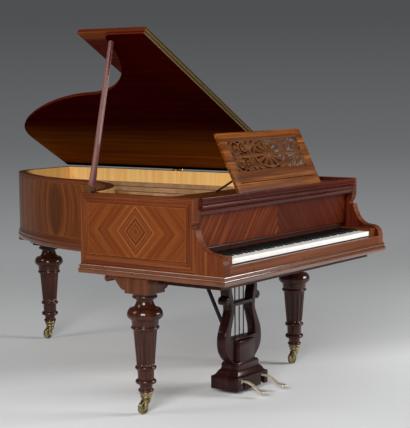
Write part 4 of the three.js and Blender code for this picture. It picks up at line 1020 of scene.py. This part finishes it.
def add_legs():
    for name, (x, y, directions) in LEGS.items():
        corbel = combine(block(-65, 65, -65, 65, LEG_BLOCK_LOW, LEG_BLOCK_HIGH, 3),
                         *[bracket(degrees) for degrees in directions])
        turning = turned(LEG_PROFILE, LEG_STEPS, flute)
        for part, solid, wood in (("turning", turning, leg_wood), ("block", corbel, corbel_wood)):
            piece(f"leg_{name}_{part}", shifted(solid, x, y, 0), wood,
                  node=f"leg_{name}")


# Casters
WHEEL_Z = 29.743
CUP = [(65, 16), (66, 19, 1), (69, 19), (70, 22, 2), (80, 24), (84, 25), (84, 27),
       (86, 28, 1.5), (99, 28), (100.5, 28)]
FORK_SIDE = [(18, 64.6), (19, 60), (8, 48), (-8, 38), (-13, 30), (-16, 22.5), (-22, 20), (-29, 23),
             (-31, 30), (-29, 40), (-24, 52), (-20, 64.6)]
WHEEL_SIDE = [(6, 29.7), (9, 28.4), (9.6, 26), (9.5, 23), (6, 20), (7, 9.5), (10, 8.5), (10, 4.7)]
TRAIL = -22


def add_casters():
    side = [FORK_SIDE[0], *smooth(FORK_SIDE[1:-1], 4), FORK_SIDE[-1]]
    crown = turned([(60.8, 14), (60.9, 19, 0.8), (64.4, 19), (64.7, 17)], 32)
    axle = lying(turned([(-16, 1), (-15.5, 3, 0.8), (-14.2, 4), (14.2, 4), (15.5, 3, 0.8), (16, 1)], 20))
    fork = combine(*[board([side], "y", far, 4, 1) for far in (-12.6, 12.6)], crown,
                   shifted(axle, TRAIL, 0, WHEEL_Z))
    profile = [*[(-z, r) for z, r in reversed(WHEEL_SIDE)], *WHEEL_SIDE]
    wheel = shifted(lying(turned([*profile, profile[0]], closed=True)), TRAIL, 0, WHEEL_Z)
    for name, (x, y, _) in LEGS.items():
        for part, solid in (("cup", turned(CUP, 40)), ("fork", fork), ("wheel", wheel)):
            node = f"caster_{part}_{name}"
            piece(f"{node}_brass", shifted(solid, x, y, 0), brass,
                  "case" if part == "cup" else node, node=node)


# Lyre, drawn as (X, Z) about its middle
LYRE_X = 687
LYRE_FOOT = 118
LYRE_TOP = 599.7
LYRE_HALF = 157
LYRE_FRONT = 370
LYRE_BACK = 420
LYRE_SIDE = [
    (0.79, 1), (0.79, 0.75), (0.72, 0.69), (0.665, 0.627), (0.665, 0.575), (0.77, 0.496),
    (0.88, 0.424), (0.97, 0.357), (1, 0.274), (0.955, 0.191), (0.815, 0.12), (0.57, 0.046),
    (0.55, 0),
]
LYRE_OPENING = [(0.46, 0.627), (0.46, 0.575), (0.5, 0.53), (0.58, 0.45), (0.65, 0.37), (0.66, 0.299)]
LYRE_UPPER = [(0.6, 0.955), (0.6, 0.8), (0.52, 0.72), (0.5, 0.664)]
LYRE_NOSE = (128, 452, 20)
ROD_SPACING = 36
LEDGE = (249, 262)
BOX_HALF = 130
BOX_FRONT = 316
BOX_BACK = 474
BOX_LOW = 20
BOX_SHOULDER = 82
BOX_WALL = 15
PLINTH_HALF = 90
PLINTH_FRONT = 342
PLINTH_BACK = 440
PEDALS = {"left": -85, "right": 85}
PEDAL_SLOT_HALF = 16
PEDAL_SLOT_TOP = 74
PEDAL_STATIONS = [
    (448, 64.5, 11, 4.5), (300, 64.5, 10.5, 4.5), (285, 62.5, 10, 4.4), (265, 55, 9.5, 4.4),
    (245, 43, 11, 4.4), (228, 34, 15, 4.5), (212, 29.8, 18.5, 4.6), (196, 28.6, 19, 4.6),
    (186, 28.6, 15, 4.2), (181, 28.8, 8, 3), (180, 28.8, 1, 0.5),
]


def lyre_points(shares, steps=5):
    points = [(out * LYRE_HALF, LYRE_FOOT + up * (LYRE_TOP - LYRE_FOOT)) for out, up in shares]
    side = smooth(points, steps)
    return side + [(-x, z) for x, z in reversed(side)]


def pedal_box():
    slots = []
    for x in PEDALS.values():
        low, high = x - PEDAL_SLOT_HALF, x + PEDAL_SLOT_HALF
        slots += [(low, BOX_LOW), (low, PEDAL_SLOT_TOP), (high, PEDAL_SLOT_TOP), (high, BOX_LOW)]
    front = [(-BOX_HALF, BOX_LOW), *slots, (BOX_HALF, BOX_LOW), (BOX_HALF, BOX_SHOULDER),
             (-BOX_HALF, BOX_SHOULDER)]
    inner = BOX_HALF - BOX_WALL
    inner_back = BOX_BACK - BOX_WALL
    wall_end = BOX_FRONT + BOX_WALL
    walls = ((-BOX_HALF, -inner, wall_end), (inner, BOX_HALF, wall_end),
             (-inner - 1, inner + 1, inner_back))
    top = []
    for z, share in ((81, 0), (82, 0.02), (83.5, 0.12), (84, 0.2), (87, 0.34), (92, 0.47),
                     (99, 0.58), (106, 0.7), (111, 0.82), (113, 0.9), (114, 0.94), (119, 0.96)):
        wide = BOX_HALF + (PLINTH_HALF - BOX_HALF) * share
        near = BOX_FRONT + (PLINTH_FRONT - BOX_FRONT) * share
        far = BOX_BACK + (PLINTH_BACK - BOX_BACK) * share
        top.append((z, ring(-wide, wide, near, far)))
    return combine(
        board([front], "y", BOX_FRONT + BOX_WALL / 2, BOX_WALL, 2),
        *[block(x0, x1, y, BOX_BACK, BOX_LOW, BOX_SHOULDER) for x0, x1, y in walls],
        block(-inner - 1, inner + 1, 418, inner_back + 1, 69.4, BOX_SHOULDER, 1),
        tiers(top),
    )


def add_lyre():
    middle = (LYRE_FRONT + LYRE_BACK) / 2
    depth = LYRE_BACK - LYRE_FRONT
    outlines = [lyre_points(LYRE_SIDE), lyre_points(LYRE_OPENING), lyre_points(LYRE_UPPER, 2)]
    arms = board(outlines, "y", middle, depth, 5, 4)
    nose_x, nose_z, radius = LYRE_NOSE
    half = depth / 2
    nose = lying(turned([
        (-half - 1.6, 0.5), (-half - 1.4, 5, 0.6), (-half, radius - 9), (-half, radius - 5),
        (-half + 4, radius), (half - 4, radius), (half, radius - 5), (half, radius - 9),
        (half + 1.4, 5, 0.6), (half + 1.6, 0.5),
    ], 36))
    plinth = tiers([(z, ring(i - PLINTH_HALF, PLINTH_HALF - i, PLINTH_FRONT + i, PLINTH_BACK - i))
                    for z, i in ((118, 2), (119, 0), (138, 0), (140, 0.8), (141, 3), (145, 3.5),
                                 (147.4, 5), (148, 7))])
    low, high = LEDGE
    ledge = tiers([(z, ring(i - 76, 76 - i, 364 + i, 426 - i))
                   for z, i in ((low, 6), (low + 3, 5), (low + 5, 1.5), (low + 7, 0),
                                (high - 2, 0), (high - 0.6, 0.8), (high, 2.4))])
    body = combine(
        arms,
        *[shifted(nose, side * nose_x, middle, nose_z) for side in (-1, 1)],
        block(-66, 66, 348, LYRE_BACK, 132, low + 1, 3),
        ledge,
        plinth,
        pedal_box(),
    )
    piece("lyre_body", shifted(body, LYRE_X, 0, 0), lyre_wood, node="lyre_frame")
    rod = turned([(255, 3.2), (262, 5), (264, 5, 1), (267, 3.2), (576, 3.2), (579, 3.2, 1.8),
                  (582, 3.2)], 20)
    rods = [shifted(rod, LYRE_X + i * ROD_SPACING, middle, 0) for i in (-1, 0, 1)]
    piece("lyre_rods", combine(*rods), dark_steel, node="lyre_frame")
    for name, x in PEDALS.items():
        piece(f"pedal_{name}_brass", shifted(tube(PEDAL_STATIONS), LYRE_X + x, 0, 0), pedal_brass,
              f"pedal_{name}")


# Keys
KEYS_LEFT = 92
KEYS_RIGHT = 1318
KEY_FRONT = 30
KEY_HEAD = 51
KEY_TAIL = 384
KEY_END = 400
KEY_LOW = 712
KEY_TOP = 734
KEY_SIDE = 1
KEY_EDGE = ((0, KEY_LOW), (0, KEY_TOP - 1.6), (0.2, KEY_TOP - 0.6), (0.8, KEY_TOP))
SHARP_WIDTH = 10
SHARP_FRONT = 84
SHARP_BACK = 190
SHARP_SHIFTS = {1: 0.2, 3: -0.2, 6: 0.3, 8: 0, 10: -0.3}
OCTAVE_STARTS = (84, 72, 60, 48, 36, 21)
HIGHEST_NOTE = 108
NATURALS = 52


def key_places():
    """Note, left side and right side of every key, from the player's left: the bass is on the right."""
    pitch = (KEYS_RIGHT - KEYS_LEFT) / NATURALS
    line = KEYS_LEFT
    found = []
    for note in range(HIGHEST_NOTE, OCTAVE_STARTS[-1] - 1, -1):
        shift = SHARP_SHIFTS.get(note % 12)
        if shift is None:
            line += pitch
            found.append((note, line - pitch + KEY_SIDE / 2, line - KEY_SIDE / 2))
        else:
            middle = line + shift * SHARP_WIDTH
            found.append((note, middle - SHARP_WIDTH / 2, middle + SHARP_WIDTH / 2))
    return found


def is_sharp(key):
    return key[0] % 12 in SHARP_SHIFTS


def natural_key(keys, i):
    _, left, right = keys[i]
    x0 = keys[i - 1][2] + KEY_SIDE if i and is_sharp(keys[i - 1]) else left
    after = keys[i + 1] if i + 1 < len(keys) else keys[i]
    x1 = after[1] - KEY_SIDE if is_sharp(after) else right
    back = KEY_FRONT + KEY_HEAD
    plan = [(left, KEY_FRONT), (right, KEY_FRONT), (right, back), (x1, back), (x1, KEY_TAIL),
            (x0, KEY_TAIL), (x0, back), (left, back)]
    plan = [point for j, point in enumerate(plan) if point != plan[j - 1]]
    return plate(plan, KEY_EDGE)


def sharp_key(key):
    _, x0, x1 = key
    levels = ((KEY_LOW, 0, 0), (KEY_TOP, 0, 0), (742, 0.4, 1.4), (744.6, 0.9, 3.4), (745.6, 1.5, 5),
              (746, 2.4, 7))
    head = tiers([(z, ring(x0 + side, x1 - side, SHARP_FRONT + nose, SHARP_BACK - side, 1))
                  for z, side, nose in levels])
    return combine(head, block(x0, x1, SHARP_BACK - 1, 378, KEY_LOW, KEY_TOP, 0.3),
                   block(x0, x1, 377, KEY_END, 726, KEY_TOP, 0.3))


def add_keys():
    keys = key_places()
    highest = HIGHEST_NOTE
    for group, start in zip(range(6, 0, -1), OCTAVE_STARTS):
        own = [i for i, key in enumerate(keys) if start <= key[0] <= highest]
        highest = start - 1
        naturals = [i for i in own if not is_sharp(keys[i])]
        sharps = [keys[i] for i in own if is_sharp(keys[i])]
        low = block(keys[naturals[0]][1] + 1, keys[naturals[-1]][2] - 1, KEY_TAIL - 3, KEY_END,
                    KEY_LOW, KEY_LOW + 4, 0.3)
        high = block(sharps[0][1] + 1, sharps[-1][2] - 1, KEY_END - 12, KEY_END, 726, KEY_TOP, 0.3)
        piece(f"naturals_{group}_keys", combine(*[natural_key(keys, i) for i in naturals], low),
              ivory, f"naturals_{group}")
        piece(f"sharps_{group}_keys", combine(*[sharp_key(key) for key in sharps], high),
              ebony, f"sharps_{group}")


# Strings: one to three wires to a note, from a pin over the nut to the hitch rail
STRING_Z = 921
NUT = 300
STRING_SIDE = 100
BAR_SHARES = (0.24, 0.42, 0.6, 0.78)
BAR_HALF = 12
NOTES = 88
HITCH_INSET = 85
SINGLE_WOUND = 10
DOUBLE_WOUND = 26


def string_places():
    bars = [share * CASE_WIDTH for share in BAR_SHARES]
    starts = [STRING_SIDE, *[x + BAR_HALF for x in bars]]
    ends = [*[x - BAR_HALF for x in bars], CASE_WIDTH - STRING_SIDE]
    found = []
    for i, (start, end) in enumerate(zip(starts, ends)):
        count = round((i + 1) * NOTES / 5) - round(i * NOTES / 5)
        found += [start + (end - start) * k / (count - 1) for k in range(count)]
    return found


def hitch(x):
    """The furthest place that a string at X reaches."""
    points = offset(OUTLINE, -HITCH_INSET)
    reach = 0
    for (x0, y0), (x1, y1) in zip(points, points[1:] + points[:1]):
        if (x0 - x) * (x1 - x) <= 0 and x0 != x1:
            reach = max(reach, y0 + (y1 - y0) * (x - x0) / (x1 - x0))
    return reach


def wire_solid(x, radius, places):
    return stack([[(x + radius * c, y, z + radius * s) for c, s in circle(6)] for y, z in places])


def add_strings():
    steel, wound, pins = [], [], []
    for i, x in enumerate(string_places()):
        from_bass = NOTES - 1 - i
        count = 1 if from_bass < SINGLE_WOUND else 2 if from_bass < DOUBLE_WOUND else 3
        radius = 1.1 if count == 1 else 0.8 if count == 2 else 0.5
        end = hitch(x)
        for k in range(count):
            side = x + (k - (count - 1) / 2) * 2.6
            pin = 285 - 9 * k - (i % 2) * 4
            top = STRING_Z + 1.2
            places = [(pin, STRING_Z - 1.6), (NUT, top), (end, top)]
            (wound if count < 3 else steel).append(wire_solid(side, radius, places))
            pins.append(shifted(turned([(918, 2.6), (929, 2.6), (931, 2)], 8), side, pin, 0))
    nut = block(96, CASE_WIDTH - 96, NUT - 4, NUT + 4, STRING_Z + 0.05, STRING_Z + 1, 0.4)
    for name, solid, material in (
        ("strings_steel", combine(*steel), wire),
        ("strings_wound", combine(*wound), copper),
        ("strings_nut", nut, bright_brass),
        ("tuning_pins", combine(*pins), dark_steel),
    ):
        piece(name, solid, material, node="strings")


add_base_moulding()
add_front_rail()
add_lid()
add_lid_hinges()
add_prop()
add_desk()
add_legs()
add_casters()
add_lyre()
add_keys()
add_strings()

# Stage: a pale pool of light painted on the floor, which fades into an even backdrop
FLOOR_REACH = 12
FLOOR_START = (-5.09, -4.14)
FLOOR_RUN = (0.617, 0.854)
# Painted light: floor tones by distance along the view, brightest in a pool around the piano
PAINTED_FLOOR_LIGHT = ((0.5, 210), (0.65, 230), (0.7, 210), (0.9, 210))
FLOOR_SPAN = 10
FADE = (8.8, 12.0)
SKY_TONES = ((-0.25, 210), (-0.15, 155), (-0.05, 105), (0.05, 80))
FILL_TONES = ((-1.0, 0.06), (-0.1, 0.08), (0.15, 0.17), (1.0, 0.22))


def grey(level):
    return srgb(level - 1, level, level + 1)


def add_floor():
    mesh = bpy.data.meshes.new("floor")
    reach = FLOOR_REACH
    corners = [(-reach, -reach, 0), (reach, -reach, 0), (reach, reach, 0), (-reach, reach, 0)]
    mesh.from_pydata(corners, [], [(0, 1, 2, 3)])
    floor = add_object("floor", mesh)
    floor.location.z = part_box("caster_wheel_left")[0].z - 0.0002
    graph = Graph("floor")
    x, y, _ = graph.split(graph.place)
    far = (x - FLOOR_START[0]) * FLOOR_RUN[0] + (y - FLOOR_START[1]) * FLOOR_RUN[1]
    stops = [(position, grey(level)) for position, level in PAINTED_FLOOR_LIGHT]
    graph.set(Base_Color=graph.ramp(far * (1 / FLOOR_SPAN), stops), Roughness=0.8)
    shown = Value(graph, graph.shader.outputs[0])
    inputs = {0: graph.between(far, *FADE), 1: shown, 2: graph.node("BsdfTransparent", {})}
    graph.give(graph.surface, graph.node("MixShader", inputs))
    mesh.materials.append(graph.material)


def add_world():
    """Light by height for the object, and a backdrop for rays that show it: from the camera,
    mirrored or passing through."""
    world = bpy.data.worlds.new("world")
    bpy.context.scene.world = world
    world.use_nodes = True
    nodes = Nodes(world.node_tree)
    up = nodes.split(nodes.node("TexCoord", {}, "Generated"))[2]

    def by_height(tones):
        stops = [((height + 1) / 2, tone) for height, tone in tones]
        return nodes.node("Background", {0: nodes.ramp(up * 0.5 + 0.5, stops)})

    rays = ("Is Camera Ray", "Is Glossy Ray", "Is Transmission Ray")
    camera, glossy, through = nodes.node("LightPath", {}, rays)
    inputs = {
        0: nodes.math("MAXIMUM", nodes.math("MAXIMUM", camera, glossy), through),
        1: by_height([(height, (level, level, level, 1)) for height, level in FILL_TONES]),
        2: by_height([(height, grey(level)) for height, level in SKY_TONES]),
    }
    out = nodes.tree.nodes.new("ShaderNodeOutputWorld")
    nodes.give(out.inputs["Surface"], nodes.node("MixShader", inputs))


def add_lamp(name, place, target, size, power):
    data = bpy.data.lights.new(name, "AREA")
    data.shape = "RECTANGLE"
    data.size, data.size_y = size
    data.energy = power
    lamp = add_object(name, data)
    lamp.location = place
    lamp.rotation_euler = (Vector(target) - Vector(place)).to_track_quat("-Z", "Y").to_euler()


add_floor()
add_world()
add_lamp("key", (-4.6, -2.4, 2.4), (0, -0.2, 0.7), (2.0, 1.4), 220)
add_lamp("front", (3.2, -4.6, 2.2), (0, -0.6, 0.6), (2.4, 1.6), 230)
add_lamp("top", (0, 0.5, 5.0), (0, 0, 0), (4.0, 4.0), 20)
add_lamp("rim", (-4.0, 2.7, 3.8), (-0.5, 0, 1.3), (1.6, 1.8), 60)
